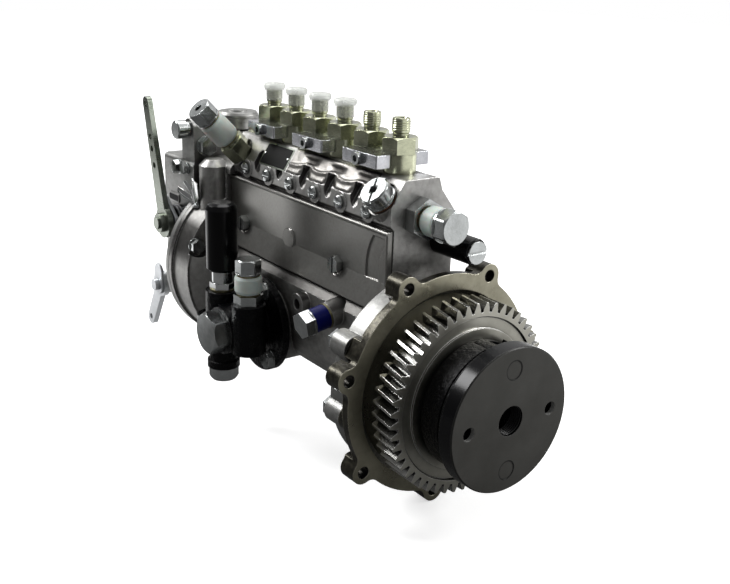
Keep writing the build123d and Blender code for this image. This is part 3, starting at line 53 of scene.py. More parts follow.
class Wire:
    def __init__(self, tree, socket):
        self.tree = tree
        self.socket = socket

    def maths(self, operation, other=0.0, swapped=False, clamp=False):
        node = self.tree.nodes.new("ShaderNodeMath")
        node.operation = operation
        node.use_clamp = clamp
        pair = (other, self) if swapped else (self, other)
        for socket, value in zip(node.inputs, pair):
            plug(self.tree, value, socket)
        return Wire(self.tree, node.outputs[0])

    def __add__(self, other):
        return self.maths("ADD", other)

    def __radd__(self, other):
        return self.maths("ADD", other, swapped=True)

    def __sub__(self, other):
        return self.maths("SUBTRACT", other)

    def __rsub__(self, other):
        return self.maths("SUBTRACT", other, swapped=True)

    def __mul__(self, other):
        return self.maths("MULTIPLY", other)

    def __rmul__(self, other):
        return self.maths("MULTIPLY", other, swapped=True)

    def __truediv__(self, other):
        return self.maths("DIVIDE", other)

    def __rtruediv__(self, other):
        return self.maths("DIVIDE", other, swapped=True)

    def __pow__(self, other):
        return self.maths("POWER", other)

    def __rpow__(self, other):
        return self.maths("POWER", other, swapped=True)

    def between(self, low, high):  # 0 at low, 1 at high, clamped
        return ((self - low) / (high - low)).maths("ADD", clamp=True)


def plug(tree, value, socket):
    if isinstance(value, Wire):
        tree.links.new(value.socket, socket)
    elif socket.type == "RGBA" and not isinstance(value, float):
        socket.default_value = (*value, 1.0)
    else:
        socket.default_value = value


class Tree:
    def __init__(self, tree):
        self.tree = tree

    # values are named after their sockets: at3 is socket 3, and Base_Color is Base Color
    def node(self, kind, settings=(), out=0, **values):
        made = self.tree.nodes.new(kind)
        for key, value in dict(settings).items():
            setattr(made, key, value)
        for key, value in values.items():
            socket = int(key[2:]) if key.startswith("at") else key.replace("_", " ")
            plug(self.tree, value, made.inputs[socket])
        return Wire(self.tree, made.outputs[out]) if made.outputs else made

    def vectorMath(self, operation, first, second, out=0):
        return self.node("ShaderNodeVectorMath", {"operation": operation}, out, at0=first, at1=second)

    def ray(self, kind):
        return self.node("ShaderNodeLightPath", out=f"Is {kind} Ray")


class Finish(Tree):
    def __init__(self, name, **flat):
        self.material = bpy.data.materials.new(name)
        self.material.use_nodes = True
        super().__init__(self.material.node_tree)
        self.shader = self.tree.nodes["Principled BSDF"]
        self.place = self.node("ShaderNodeTexCoord", out="Object")
        self.feed(**flat)

    def feed(self, **channels):
        for channel, value in channels.items():
            plug(self.tree, value, self.shader.inputs[channel.replace("_", " ")])
        return self

    def noise(self, scale, detail, roughness, stretch=None):
        where = self.vectorMath("MULTIPLY", self.place, stretch) if stretch else self.place
        return self.node("ShaderNodeTexNoise", Vector=where, Scale=scale, Detail=detail, Roughness=roughness)

    def axis(self, letter):  # metres
        return self.node("ShaderNodeSeparateXYZ", out=letter, Vector=self.place)

    def ring(self):  # distance from the camshaft line, metres
        y, z = self.axis("Y"), self.axis("Z")
        return (y * y + z * z) ** 0.5

    def near(self, point, reach, soft=1.0):  # 1 within reach of a point, millimetres
        away = self.vectorMath("DISTANCE", self.place, Vector(point) * mm, "Value")
        return 1 - away.between((reach - soft) * mm, reach * mm)

    def facing(self, direction, low=0.6, high=0.9):  # 1 on faces that look along a direction
        normal = self.node("ShaderNodeNewGeometry", out="Normal")
        return self.vectorMath("DOT_PRODUCT", normal, direction, "Value").between(low, high)

    def mix(self, mask, first, second):
        return self.node("ShaderNodeMix", {"data_type": "RGBA"}, out=2, at0=mask, at6=first, at7=second)

    def mottle(self, cloud, tones, spread=0.15):  # two tones that change over about a noise's middle
        return self.mix(cloud.between(0.5 - spread, 0.5 + spread), *tones)

    def rounded(self, radius):  # normals that turn softly over edges, millimetres
        return self.node("ShaderNodeBevel", {"samples": 4}, Radius=radius * mm)

    def edges(self, radius):  # 1 along sharp edges, 0 on flat faces
        hard = self.node("ShaderNodeNewGeometry", out="Normal")
        return (1 - self.vectorMath("DOT_PRODUCT", self.rounded(radius), hard, "Value")).between(0.005, 0.12)

    def corners(self, reach):  # 1 deep in a corner, 0 in the open
        openness = self.node("ShaderNodeAmbientOcclusion", {"samples": 6}, out="AO", Distance=reach * mm)
        return 1 - openness.between(0.25, 0.95)

    def relief(self, height, strength, depth, soft):
        bump = self.node("ShaderNodeBump", Height=height, Strength=strength, Distance=depth * mm,
                         Normal=self.rounded(soft))
        return self.feed(Normal=bump)


# Camera, floor, surroundings and lamps, in metres

photoCamera = {"place": (0.4432, -0.3955, 0.2626), "azimuth": 53.38, "elevation": 18.64, "roll": 1.81,
               "lens": 47.88, "sensor": 36.0}


def placeCamera():
    azimuth, elevation, roll = (math.radians(photoCamera[key]) for key in ("azimuth", "elevation", "roll"))
    back = Vector((math.sin(azimuth) * math.cos(elevation), -math.cos(azimuth) * math.cos(elevation),
                   math.sin(elevation)))
    level = Vector((math.cos(azimuth), math.sin(azimuth), 0))
    rise = back.cross(level)
    right = math.cos(roll) * level + math.sin(roll) * rise
    up = -math.sin(roll) * level + math.cos(roll) * rise
    camera = bpy.data.objects.new("photoCamera", bpy.data.cameras.new("photoCamera"))
    camera.data.lens = photoCamera["lens"]
    camera.data.sensor_width = photoCamera["sensor"]
    turn = Matrix((right, up, back)).transposed().to_4x4()
    camera.matrix_world = Matrix.Translation(photoCamera["place"]) @ turn
    scene.collection.objects.link(camera)
    scene.camera = camera


paleFloor = {"size": 12.0, "gap": 0.0005, "tone": 0.8, "bounce": 0.07, "speckle": 0.02,
             "nearShine": 0.58, "farShine": 0.5, "farFrom": 0.5, "farTo": 1.4}
floorCards = {"dark": 0.02, "pale": 0.9, "behindSlope": (0.6, 0.8), "behind": (0.10, 0.55),
              "leftSlope": 0.8, "leftShift": 0.24, "left": (0.46, 0.72), "leftEnd": (1.3, 1.0),
              "leftFront": (-0.66, -0.51), "leftGlow": 1.8}


def floorFinish():
    # white to the camera and through clear plastic, but in reflections it is dark in front of the object,
    # pale behind it and has a bright band on the left
    p, cards = paleFloor, floorCards
    f = Finish("paleFloor", Roughness=0.9, Emission_Strength=1.0)
    x, y = f.axis("X"), f.axis("Y")
    seen = f.ray("Camera").maths("MAXIMUM", f.ray("Transmission"))
    behind = (x * cards["behindSlope"][0] + y * cards["behindSlope"][1]).between(*cards["behind"])
    side = y * cards["leftSlope"] - x + cards["leftShift"]
    left = side.between(*cards["left"]) * side.between(*cards["leftEnd"])
    left = left * y.between(*cards["leftFront"]) * cards["leftGlow"]
    reflected = cards["dark"] + behind.maths("MAXIMUM", left) * cards["pale"]
    away = (x * x + y * y) ** 0.5
    shine = away.between(p["farFrom"], p["farTo"]) * p["farShine"] + p["nearShine"]  # less near the shadow
    speckle = f.noise(3.0, 2.0, 0.5) * p["speckle"]
    f.feed(Base_Color=seen * p["tone"] + p["bounce"] + speckle,
           Emission_Color=seen * shine + f.ray("Glossy") * reflected)
    return f.material


def studioFloor():
    half = paleFloor["size"] / 2
    mesh = bpy.data.meshes.new("studioFloor")
    corners = [(-half, -half, 0), (half, -half, 0), (half, half, 0), (-half, half, 0)]
    mesh.from_pydata(corners, [], [(0, 1, 2, 3)])
    floor = bpy.data.objects.new("studioFloor", mesh)
    floor.location.z = cadBox[0][2] - paleFloor["gap"]
    mesh.materials.append(floorFinish())
    scene.collection.objects.link(floor)


tentWalls = {"plain": 0.34, "front": 0.12, "back": 0.42, "backFrom": (-0.25, 0.25), "top": 0.5,
             "topFrom": (0.15, 0.6), "topInFront": 0.3}


def studioWorld():
    # white to the camera; metal sees a dark wall in front and a pale one behind, both whiter at the top
    p = tentWalls
    world = bpy.data.worlds.new("studioWorld")
    world.use_nodes = True
    w = Tree(world.node_tree)
    w.tree.nodes.clear()
    where = w.node("ShaderNodeTexCoord", out="Generated")
    height, depth = (w.node("ShaderNodeSeparateXYZ", out=letter, Vector=where) for letter in "ZY")
    seen = w.ray("Camera").maths("MAXIMUM", w.ray("Transmission"))
    glossy = w.ray("Glossy")
    back = depth.between(*p["backFrom"])
    top = height.between(*p["topFrom"]) * p["top"] * (p["topInFront"] + back * (1 - p["topInFront"]))
    walls = p["front"] + back * p["back"] + top
    level = p["plain"] * (1 - glossy) + walls * glossy
    backdrop = w.node("ShaderNodeBackground", Color=(1, 1, 1), Strength=level * (1 - seen) + seen)
    w.node("ShaderNodeOutputWorld", Surface=backdrop)
    scene.world = world


lamps = {"keyLamp": {"place": (-1.3, -0.85, 1.3), "aim": (-0.12, 0, 0.05), "size": 0.75, "power": 26.0},
         "sideLamp": {"place": (1.0, 1.3, 1.0), "aim": (0, 0, 0.05), "size": 0.9, "power": 22.0},
         "topLamp": {"place": (-0.5, 0.35, 1.7), "aim": (-0.1, 0, 0.05), "size": 1.1, "power": 11.0}}


def areaLamp(name, place, aim, size, power):
    lamp = bpy.data.objects.new(name, bpy.data.lights.new(name, "AREA"))
    lamp.data.shape = "DISK"
    lamp.data.size = size
    lamp.data.energy = power
    lamp.location = place
    lamp.rotation_mode = "QUATERNION"
    lamp.rotation_quaternion = (Vector(aim) - Vector(place)).to_track_quat("-Z", "Y")
    scene.collection.objects.link(lamp)


placeCamera()
studioFloor()
studioWorld()
for name, lamp in lamps.items():
    areaLamp(name, **lamp)
scene.view_settings.view_transform = "Standard"
print("studio ready")


# Finishes, from the castings to the plastics: over each maker stand the looks that it is given, with pairs
# of tones from dark to light. Heights in them are in metres, other lengths in millimetres.

shoulderRelief = {"xRange": (-158.5, -55.0), "top": (-14.0, 133.0), "foot": (-25.0, 116.0), "drop": 20.25,
                  "normal": (0, -0.84, 0.543), "level": 83.98, "columns": 150, "rows": 34,
                  "middles": (-134.5, -102.5, -70.5), "skin": 0.9, "lowest": -0.3, "back": -0.6,
                  "border": 1.6}
# painted shade: the up-facing band of the case's ledge under the side cover, where shade falls
shadedLedge = {"foot": (0.024, 0.034), "top": (0.064, 0.058), "facing": (0, -0.35, 0.94), "slope": (0.3, 0.6)}
# dark colours painted in: grime with painted shade in corners, painted shade on the ledge under the cover and
# in the shoulder's hollows
castGrimeShade = {"grimeShade": (0.03, 0.028, 0.026), "hollowShade": (0.02, 0.018, 0.016)}
castLooks = {
    "castCase": {"tones": ((0.30, 0.295, 0.285), (0.46, 0.455, 0.44)), "edge": (0.74, 0.735, 0.72),
                 "waves": 1.6, "oil": 0.85},
    # the case's own casting, in darker tones on its sloping shoulder as painted shade
    "castShoulder": {"tones": ((0.24, 0.23, 0.215), (0.40, 0.385, 0.365)), "edge": (0.74, 0.735, 0.72),
                     "rough": 0.18, "pits": 200, "sunk": 0.95},
    "castEnd": {"tones": ((0.25, 0.25, 0.24), (0.37, 0.37, 0.36)), "edge": (0.70, 0.70, 0.69)},
    "coverMetal": {"tones": ((0.26, 0.255, 0.24), (0.33, 0.325, 0.31)), "edge": (0.62, 0.61, 0.59),
                   "grime": 0.6, "grain": 1300, "pits": 500, "rough": 0.2, "bump": 0.12},
}


def castAluminium(name, tones, edge, grime=0.8, grain=900, pits=260, rough=0.27, bump=0.35,
                  waves=0.0, oil=0.0, sunk=0.0):
    # grainy casting, its edges lighter as wear and as a painted highlight: waves dent its skin, grime with
    # painted shade darkens its corners, and painted shade darkens its ledge under the cover and its hollows
    f = Finish(name, Metallic=0.9)
    fine = f.noise(grain, 2.0, 0.6)
    broad = f.noise(28, 4.0, 0.6)
    pitted = f.noise(pits, 3.0, 0.55)
    # edges lighter, as wear and as a painted highlight
    edgeWearSheen = f.edges(0.9)
    # corners darkened: grime with painted shade
    grimeShadeMask = f.corners(14) * grime
    # painted shade on the ledge under the side cover
    if oil:
        height = f.axis("Z")
        ledge = height.between(*shadedLedge["foot"]) * height.between(*shadedLedge["top"])
        grimeShadeMask = grimeShadeMask.maths("MAXIMUM", ledge * f.facing(shadedLedge["facing"], *shadedLedge["slope"]) * oil)
    tone = f.mix(grimeShadeMask, f.mottle(broad * 0.6 + pitted * 0.4, tones, 0.12), castGrimeShade["grimeShade"])
    # painted shade: the shoulder relief darkened where it lies below its level, in its hollows
    if sunk:
        along = f.vectorMath("DOT_PRODUCT", f.place, shoulderRelief["normal"], "Value")
        above = along - shoulderRelief["level"] * mm
        tone = f.mix(above.between(1.0 * mm, 0.1 * mm) * sunk, tone, castGrimeShade["hollowShade"])
    f.feed(Base_Color=f.mix(edgeWearSheen * 0.7, tone, edge),
           Roughness=rough + fine * 0.16 + pitted * 0.1 - edgeWearSheen * 0.12)
    skin = fine * 0.5 + pitted * 0.8
    if waves:
        skin = skin + f.noise(70, 2.0, 0.5, (0.6, 1, 1)) * waves
    return f.relief(skin, bump, 0.5, 0.9).material


machinedLooks = {
    "brightZinc": {"tones": ((0.36, 0.375, 0.37), (0.58, 0.60, 0.60)), "rough": 0.09},
    "chromed": {"tones": ((0.62, 0.63, 0.63), (0.80, 0.81, 0.81)), "rough": 0.06, "bump": 0.02},
    "clampSteel": {"tones": ((0.40, 0.405, 0.43), (0.66, 0.67, 0.70)), "rough": 0.12, "wear": 0.7},
    "leverZinc": {"tones": ((0.18, 0.20, 0.165), (0.29, 0.31, 0.275)), "rough": 0.2},
    "leverBright": {"tones": ((0.60, 0.62, 0.64), (0.78, 0.80, 0.82)), "rough": 0.3, "metal": 0.8},
    "yellowZinc": {"tones": ((0.34, 0.35, 0.25), (0.66, 0.68, 0.49)), "rough": 0.11},
    "groundSteel": {"tones": ((0.40, 0.40, 0.40), (0.58, 0.58, 0.58)), "rough": 0.3},
    "springWire": {"tones": ((0.16, 0.16, 0.17), (0.30, 0.30, 0.31)), "rough": 0.35},
}


def machined(name, tones, rough, wear=0.4, metal=1.0, bump=0.05):
    # turned or plated metal with fine streaks and cloudy plating, its edges lighter as wear and as a painted
    # highlight, and painted shade in its corners
    f = Finish(name, Metallic=metal)
    streak = f.noise(1400, 2.0, 0.7, (0.06, 1, 1))
    cloud = f.noise(60, 3.0, 0.6)
    # edges lighter: wear and a painted highlight
    tone = f.mottle(streak * 0.3 + cloud * 0.7 + f.edges(wear) * 0.4, tones, 0.16)
    # painted shade: corners darkened
    f.feed(Base_Color=f.mix(f.corners(6) * 0.5, tone, (0.04, 0.04, 0.035)),
           Roughness=rough + streak * 0.08 + cloud * 0.1)
    return f.relief(streak * 0.5 + cloud * 2.0, bump, 0.4, wear).material


oxideLooks = {
    "blackTimer": {"body": (0.0025, 0.0025, 0.003), "rub": (0.05, 0.05, 0.05), "rough": 0.2, "specular": 0.3},
    "blackCast": {"body": (0.0015, 0.0015, 0.002), "rub": (0.025, 0.025, 0.026), "rough": 0.18,
                  "specular": 0.18, "lumpy": 1.8},
}


def blackOxide(name, body, rub, rough, specular, lumpy=0.0):
    # glossy black skin, lighter along its edges as rubbing and as a painted highlight, smooth or with a
    # casting's lumps
    f = Finish(name, Metallic=0.2, Specular_IOR_Level=specular)
    cloud = f.noise(45, 4.0, 0.65)
    fine = f.noise(1300, 2.0, 0.5)
    lumps = f.noise(230, 3.0, 0.6)
    # edges and cloudy patches lighter: rubbing, with a painted highlight along the edges
    f.feed(Base_Color=f.mix(f.edges(0.7) * 0.5 + cloud.between(0.55, 0.8) * 0.06, body, rub),
           Roughness=rough + cloud * 0.14 + fine * 0.06)
    return f.relief(fine * 0.25 + lumps * lumpy, 0.3 + lumpy * 0.5, 0.6, 0.7).material


ironLooks = {"oliveIron": {"skin": ((0.020, 0.018, 0.013), (0.055, 0.051, 0.037)),
                           "cut": ((0.27, 0.255, 0.19), (0.40, 0.38, 0.29)),
                           "corner": (0.006, 0.005, 0.004), "edge": (0.50, 0.48, 0.39)}}


def oiledIron(name, skin, cut, corner, edge):
    # oiled brown-olive casting, with machined faces towards the drive end that catch the light, painted shade
    # in its corners and edges lighter as wear and as a painted highlight
    f = Finish(name, Metallic=0.75, Specular_IOR_Level=0.5)
    face = f.facing((1, 0, 0), 0.8, 0.98)
    cloud = f.noise(40, 4.0, 0.65)
    lumps = f.noise(260, 3.0, 0.6)
    tone = f.mix(face, f.mottle(lumps, skin), f.mottle(cloud, cut))
    # painted shade: corners darkened to near black
    tone = f.mix(f.corners(10) * 0.85, tone, corner)
    # edges lighter: wear and a painted highlight
    f.feed(Base_Color=f.mix(f.edges(0.9) * 0.7, tone, edge), Roughness=0.2 + cloud * 0.12 + lumps * 0.06)
    return f.relief(lumps * (1 - face * 0.85) + cloud * 0.4, 0.35, 0.6, 0.8).material


discLooks = {"blackTurned": {"satin": ((0.056, 0.055, 0.050), (0.080, 0.079, 0.073)),
                             "gloss": (0.0025, 0.0025, 0.003), "scribed": (0.012, 0.012, 0.011),
                             "bright": (0.30, 0.30, 0.29), "edge": (0.10, 0.10, 0.10), "lines": 7000.0,
                             "pins": ((64.8, 0, 33.8), (64.8, 0, -33.8)), "seat": (6.0, 6.8),
                             "holes": ((64.8, 34.2, 0), (64.8, -34.2, 0)), "mouth": 5.6}}


def turnedDisc(name, satin, gloss, scribed, bright, edge, lines, pins, seat, holes, mouth):
    # satin dark face with faint turning lines, scribed pin seats, a painted glint in the hole mouths, a gloss
    # black rim, and edges lighter as wear and as a painted highlight
    f = Finish(name, Metallic=0.2, Specular_IOR_Level=0.2)
    face = f.facing((1, 0, 0))
    cloud = f.noise(30, 4.0, 0.6)
    inner, outer = seat
    seats = sum(f.near(pin, outer, 0.2) - f.near(pin, inner, 0.2) for pin in pins)
    mouths = sum(f.near(hole, mouth, 0.3) for hole in holes)
    tone = f.mix(face, gloss, f.mottle(cloud, satin, 0.2))
    tone = f.mix(seats * face, tone, scribed)
    # painted glint: hole mouths painted bright
    tone = f.mix(mouths * (1 - face), tone, bright)
    # edges lighter: wear and a painted highlight
    f.feed(Base_Color=f.mix(f.edges(0.6) * 0.5, tone, edge), Roughness=0.16 + face * 0.22 + cloud * 0.08)
    turned = (f.ring() * lines).maths("SINE")
    return f.relief(turned * 0.5 + cloud, 0.06, 0.4, 0.5).material


gearLooks = {"gearSteel": {"flanks": ((0.26, 0.255, 0.24), (0.56, 0.56, 0.54)),
                           "front": ((0.40, 0.39, 0.34), (0.56, 0.55, 0.49)),
                           "corner": (0.015, 0.014, 0.012), "edge": (0.85, 0.85, 0.83)}}


def toothedSteel(name, flanks, front, corner, edge):
    # hobbed flanks with lines along the teeth, a beige satin front face, painted shade in its recess, and
    # edges lighter as wear and as a painted highlight
    f = Finish(name, Metallic=1.0)
    face = f.facing((1, 0, 0), 0.7, 0.95)
    hobbed = f.noise(900, 2.0, 0.6, (0.08, 1, 1))
    cloud = f.noise(50, 3.0, 0.6)
    tone = f.mix(face, f.mottle(hobbed * 0.5 + cloud * 0.5, flanks), f.mottle(cloud, front, 0.2))
    # painted shade: the recess and corners darkened
    tone = f.mix(f.corners(8) * 0.8, tone, corner)
    # edges lighter: wear and a painted highlight
    f.feed(Base_Color=f.mix(f.edges(0.5) * 0.8, tone, edge), Roughness=0.16 + face * 0.16 + cloud * 0.12)
    return f.relief(hobbed, 0.08, 0.3, 0.3).material


mouldedLooks = {
    "whiteSleeve": {"colour": (0.68, 0.72, 0.67), "rough": 0.35, "Subsurface_Weight": 0.2},
    "blueSleeve": {"colour": (0.0005, 0.003, 0.10), "rough": 0.3, "Specular_IOR_Level": 0.15},
    "blackKnob": {"colour": (0.0015, 0.0015, 0.002), "rough": 0.12, "Specular_IOR_Level": 0.2},
    "plateBlack": {"colour": (0.003, 0.003, 0.003), "rough": 0.45, "Specular_IOR_Level": 0.1},
    "blackRubber": {"colour": (0.010, 0.010, 0.010), "rough": 0.5},
    "gasketPaper": {"colour": (0.03, 0.028, 0.025), "rough": 0.7},
}


def moulded(name, colour, rough, **flat):
    # one colour that darkens a little in clouds, with a fine grain
    f = Finish(name, **flat)
    cloud = f.noise(55, 3.0, 0.5)
    deep = tuple(c * 0.78 for c in colour)
    f.feed(Base_Color=f.mottle(cloud, (deep, colour)), Roughness=rough + cloud * 0.12)
    return f.relief(f.noise(900, 2.0, 0.5), 0.08, 0.3, 0.5).material


capLooks = {"clearCap": {"tones": ((0.80, 0.82, 0.78), (0.90, 0.92, 0.88)), "headFrom": (0.168, 0.1695),
                         "skirtAlpha": 0.28, "headAlpha": 0.5}}


def clearPlastic(name, tones, headFrom, skirtAlpha, headAlpha):
    # frosted head over a nearly clear skirt
    f = Finish(name, Transmission_Weight=0.35, IOR=1.4)
    head = f.axis("Z").between(*headFrom)
    cloud = f.noise(140, 3.0, 0.6)
    f.feed(Base_Color=f.mottle(cloud, tones), Roughness=0.18 + cloud * 0.15,
           Alpha=skirtAlpha + head * headAlpha)
    return f.relief(cloud, 0.1, 0.4, 0.4).material


ridgedLooks = {"ridgedCap": {"tones": ((0.22, 0.22, 0.21), (0.40, 0.40, 0.385)), "edge": (0.7, 0.7, 0.69),
                             "centre": (-274.3, 0, 137), "ridges": 1500.0}}


def ridgedAluminium(name, tones, edge, centre, ridges):
    # cast cap with concentric ridges about its middle, its edges lighter as wear and as a painted highlight
    f = Finish(name, Metallic=0.9)
    away = f.vectorMath("DISTANCE", f.place, Vector(centre) * mm, "Value")
    cloud = f.noise(200, 3.0, 0.6)
    tone = f.mottle(cloud, tones, 0.2)
    # edges lighter: wear and a painted highlight
    f.feed(Base_Color=f.mix(f.edges(0.8) * 0.6, tone, edge), Roughness=0.34 + cloud * 0.1)
    return f.relief((away * ridges).maths("SINE") + cloud * 0.6, 0.25, 0.6, 0.6).material


washerLooks = {"sealRing": {"olive": ((0.13, 0.12, 0.07), (0.28, 0.26, 0.16)),
                            "copper": ((0.34, 0.16, 0.09), (0.58, 0.32, 0.20)),
                            "copperAt": (-42.0, -22.5, 118.5), "copperReach": 18}}


def sealRings(name, olive, copper, copperAt, copperReach):
    # dull olive washers, one copper one under the bleed screw
    f = Finish(name, Metallic=0.9)
    cloud = f.noise(120, 3.0, 0.6)
    tone = f.mix(f.near(copperAt, copperReach), f.mottle(cloud, olive), f.mottle(cloud, copper))
    f.feed(Base_Color=tone, Roughness=0.3 + cloud * 0.2)
    return f.relief(cloud, 0.1, 0.3, 0.3).material


makers = ((castAluminium, castLooks), (machined, machinedLooks), (blackOxide, oxideLooks),
          (oiledIron, ironLooks), (turnedDisc, discLooks), (toothedSteel, gearLooks),
          (moulded, mouldedLooks), (clearPlastic, capLooks), (ridgedAluminium, ridgedLooks),
          (sealRings, washerLooks))
finishes = {name: maker(name, **look) for maker, looks in makers for name, look in looks.items()}

wears = {
    "castCase": ["pump_housing"],
    "castEnd": ["bearing_cover", "governor_housing", "governor_cover"],
    "coverMetal": ["side_cover"],
    "brightZinc": ["cover_screws", "lock_bolts", "case_bolts", "barrel_screws", "bleed_screw",
                   "union_bolts", "union_nuts", "feed_pump_plugs", "feed_pump_nuts", "rack_cap_plug"],
    "clampSteel": ["lock_clamps"],
    "ridgedCap": ["governor_cap"],
    "chromed": ["priming_barrel"],
    "leverZinc": ["speed_lever"],
    "leverBright": ["stop_lever"],
    "yellowZinc": ["delivery_valve_holders", "overflow_valve"],
    "gearSteel": ["drive_gear"],
    "springWire": ["plunger_springs"],
    "sealRing": ["seal_washers"],
    "oliveIron": ["mounting_flange"],
    "blackTurned": ["timer_disc", "timer_pins"],
    "blackTimer": ["timer_hub"],
    "blackCast": ["timer_weight_a", "timer_weight_b", "feed_pump_body"],
    "whiteSleeve": ["union_sleeves"],
    "blueSleeve": ["lube_sleeve"],
    "clearCap": ["outlet_caps"],
    "blackKnob": ["priming_knob", "rack_cap"],
    "blackRubber": ["shaft_seal"],
    "gasketPaper": ["gaskets"],
}
finishOf = {node: finish for finish, nodes in wears.items() for node in nodes}
for name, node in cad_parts.items():
    node.data.materials.clear()
    node.data.materials.append(finishes[finishOf.get(name, "groundSteel")])
print("finishes given to", len(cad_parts), "nodes")


# Shapes in millimetres, as points and faces in a frame of their own

def facingFrame(origin, facing):
    z = Vector(facing).normalized()
    x = Vector((0, 0, 1)).cross(z).normalized()
    return Matrix.Translation(origin) @ Matrix((x, z.cross(x), z)).transposed().to_4x4()


def sideFrame(centre, lean=0.0):  # looks out of the governor's side, turned by lean degrees
    return facingFrame(centre, (0, -1, 0)) @ Matrix.Rotation(math.radians(lean), 4, "Z")


def addPiece(name, shapes, finish, body="pump_body", softEdge=0.0):
    bm = bmesh.new()
    for (points, faces), where in shapes:
        made = [bm.verts.new(where @ Vector(p) * mm) for p in points]
        for face in faces:
            bm.faces.new([made[i] for i in face])
    bmesh.ops.remove_doubles(bm, verts=bm.verts, dist=1e-6)
    bmesh.ops.dissolve_degenerate(bm, edges=bm.edges, dist=1e-7)
    bmesh.ops.recalc_face_normals(bm, faces=bm.faces)
    mesh = bpy.data.meshes.new(name)
    bm.to_mesh(mesh)
    bm.free()
    mesh.shade_smooth()
    mesh.set_sharp_from_angle(angle=math.radians(35))
    mesh.materials.append(finishes[finish])
    piece = bpy.data.objects.new(name, mesh)
    scene.collection.objects.link(piece)
    if softEdge:
        bevel = piece.modifiers.new("softEdges", "BEVEL")
        bevel.width = softEdge * mm
        bevel.segments = 2
        bevel.limit_method = "ANGLE"
    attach(piece, body)


def turnedShape(profile, sides=40):
    # closed (radius, along) profile turned about the local Z axis
    n = len(profile)
    points = [(r * math.cos(2 * math.pi * k / sides), r * math.sin(2 * math.pi * k / sides), s)
              for k in range(sides) for r, s in profile]
    faces = [(k * n + j, (k + 1) % sides * n + j, (k + 1) % sides * n + (j + 1) % n, k * n + (j + 1) % n)
             for k in range(sides) for j in range(n)]
    return points, faces


def pinProfile(radius, low, high, chamfer=0.6):
    return [(0, low), (radius, low), (radius, high - chamfer), (radius - chamfer, high), (0, high)]


def collaredProfile(bore, radius, length, collar, chamfer=0.8):
    # shank on a collar, given as how far it stands out, its height and the height where the shank starts
    out, height, shank = collar
    return [(bore, 0), (radius + out, 0), (radius + out, height), (radius, shank),
            (radius, length - chamfer), (radius - chamfer, length), (bore, length)]


def plateShape(outline, low, high):
    n = len(outline)
    points = [(x, y, low) for x, y in outline] + [(x, y, high) for x, y in outline]
    faces = [tuple(range(n))[::-1], tuple(range(n, 2 * n))]
    faces += [(i, (i + 1) % n, n + (i + 1) % n, n + i) for i in range(n)]
    return points, faces


def arcPoints(x, y, radius, first, last, steps):  # first and last are degrees
    angles = [math.radians(first + (last - first) * k / steps) for k in range(steps + 1)]
    return [(x + radius * math.cos(a), y + radius * math.sin(a)) for a in angles]


def roundedOutline(width, height, radius, steps=5):
    x, y = width / 2 - radius, height / 2 - radius
    return [point for k, (sx, sy) in enumerate(((1, 1), (-1, 1), (-1, -1), (1, -1)))
            for point in arcPoints(sx * x, sy * y, radius, 90 * k, 90 * k + 90, steps)]


def linkOutline(length, root, tip):
    return arcPoints(0, 0, root, 90, 270, 12) + arcPoints(length, 0, tip, -90, 90, 12)


def hexOutline(flats):
    cornerRadius = flats / 1.732
    return arcPoints(0, 0, cornerRadius, 0, 300, 5)


# Threads on the two open outlets and in the puller hole of the timer disc

outletThread = {"x": (-55.0, -87.0), "from": 160.2, "to": 168.0, "radius": 6.0, "height": 0.35, "pitch": 1.5,
                "steps": 24}
pullerThread = {"from": 54.0, "to": 64.0, "radius": 10.0, "height": -0.7, "pitch": 1.5, "steps": 32}


def threadShape(thread):
    # one helical ridge that fades in and out at its ends, with its foot a little under the surface
    radius, pitch, steps = thread["radius"], thread["pitch"], thread["steps"]
    foot = radius - 0.15
    half = pitch * 0.44
    count = round((thread["to"] - thread["from"]) / pitch * steps)
    points = []
    for k in range(count + 1):
        angle, rise = 2 * math.pi * k / steps, pitch * k / steps
        tip = radius + thread["height"] * min(1, k / steps, (count - k) / steps)
        for r, s in ((foot, rise - half), (tip, rise), (foot, rise + half)):
            points.append((r * math.cos(angle), r * math.sin(angle), s))
    faces = [(3 * k + a, 3 * k + b, 3 * k + 3 + b, 3 * k + 3 + a)
             for k in range(count) for a, b in ((0, 1), (1, 2), (2, 0))]
    return points, faces + [(0, 2, 1), (3 * count, 3 * count + 1, 3 * count + 2)]


def addThreads():
    ridge = threadShape(outletThread)
    outlets = [Matrix.Translation((x, 0, outletThread["from"])) for x in outletThread["x"]]
    addPiece("outlet_threads", [(ridge, where) for where in outlets], "yellowZinc")
    bottom = facingFrame((pullerThread["from"], 0, 0), (1, 0, 0))
    addPiece("puller_thread", [(threadShape(pullerThread), bottom)], "blackTimer",
             "camshaft_set")


# Cast relief on the slope below the deck: a wavy ridge between long hollows and round ones

longHollows = {"shift": 2.0, "down": 6.5, "reach": (8.5, 2.4), "depth": 0.85}
wavyRidge = {"height": 1.1, "down": 13.2, "wave": 2.6, "waveReach": 9.0, "width": 1.3}
roundHollows = {"down": 20.5, "reach": (9.0, 8.0), "flat": 0.72, "floor": 0.05, "steep": 2.6}
deepPockets = {"middles": (-135.0, -103.0, -71.0), "half": 4.2, "from": 11.0}


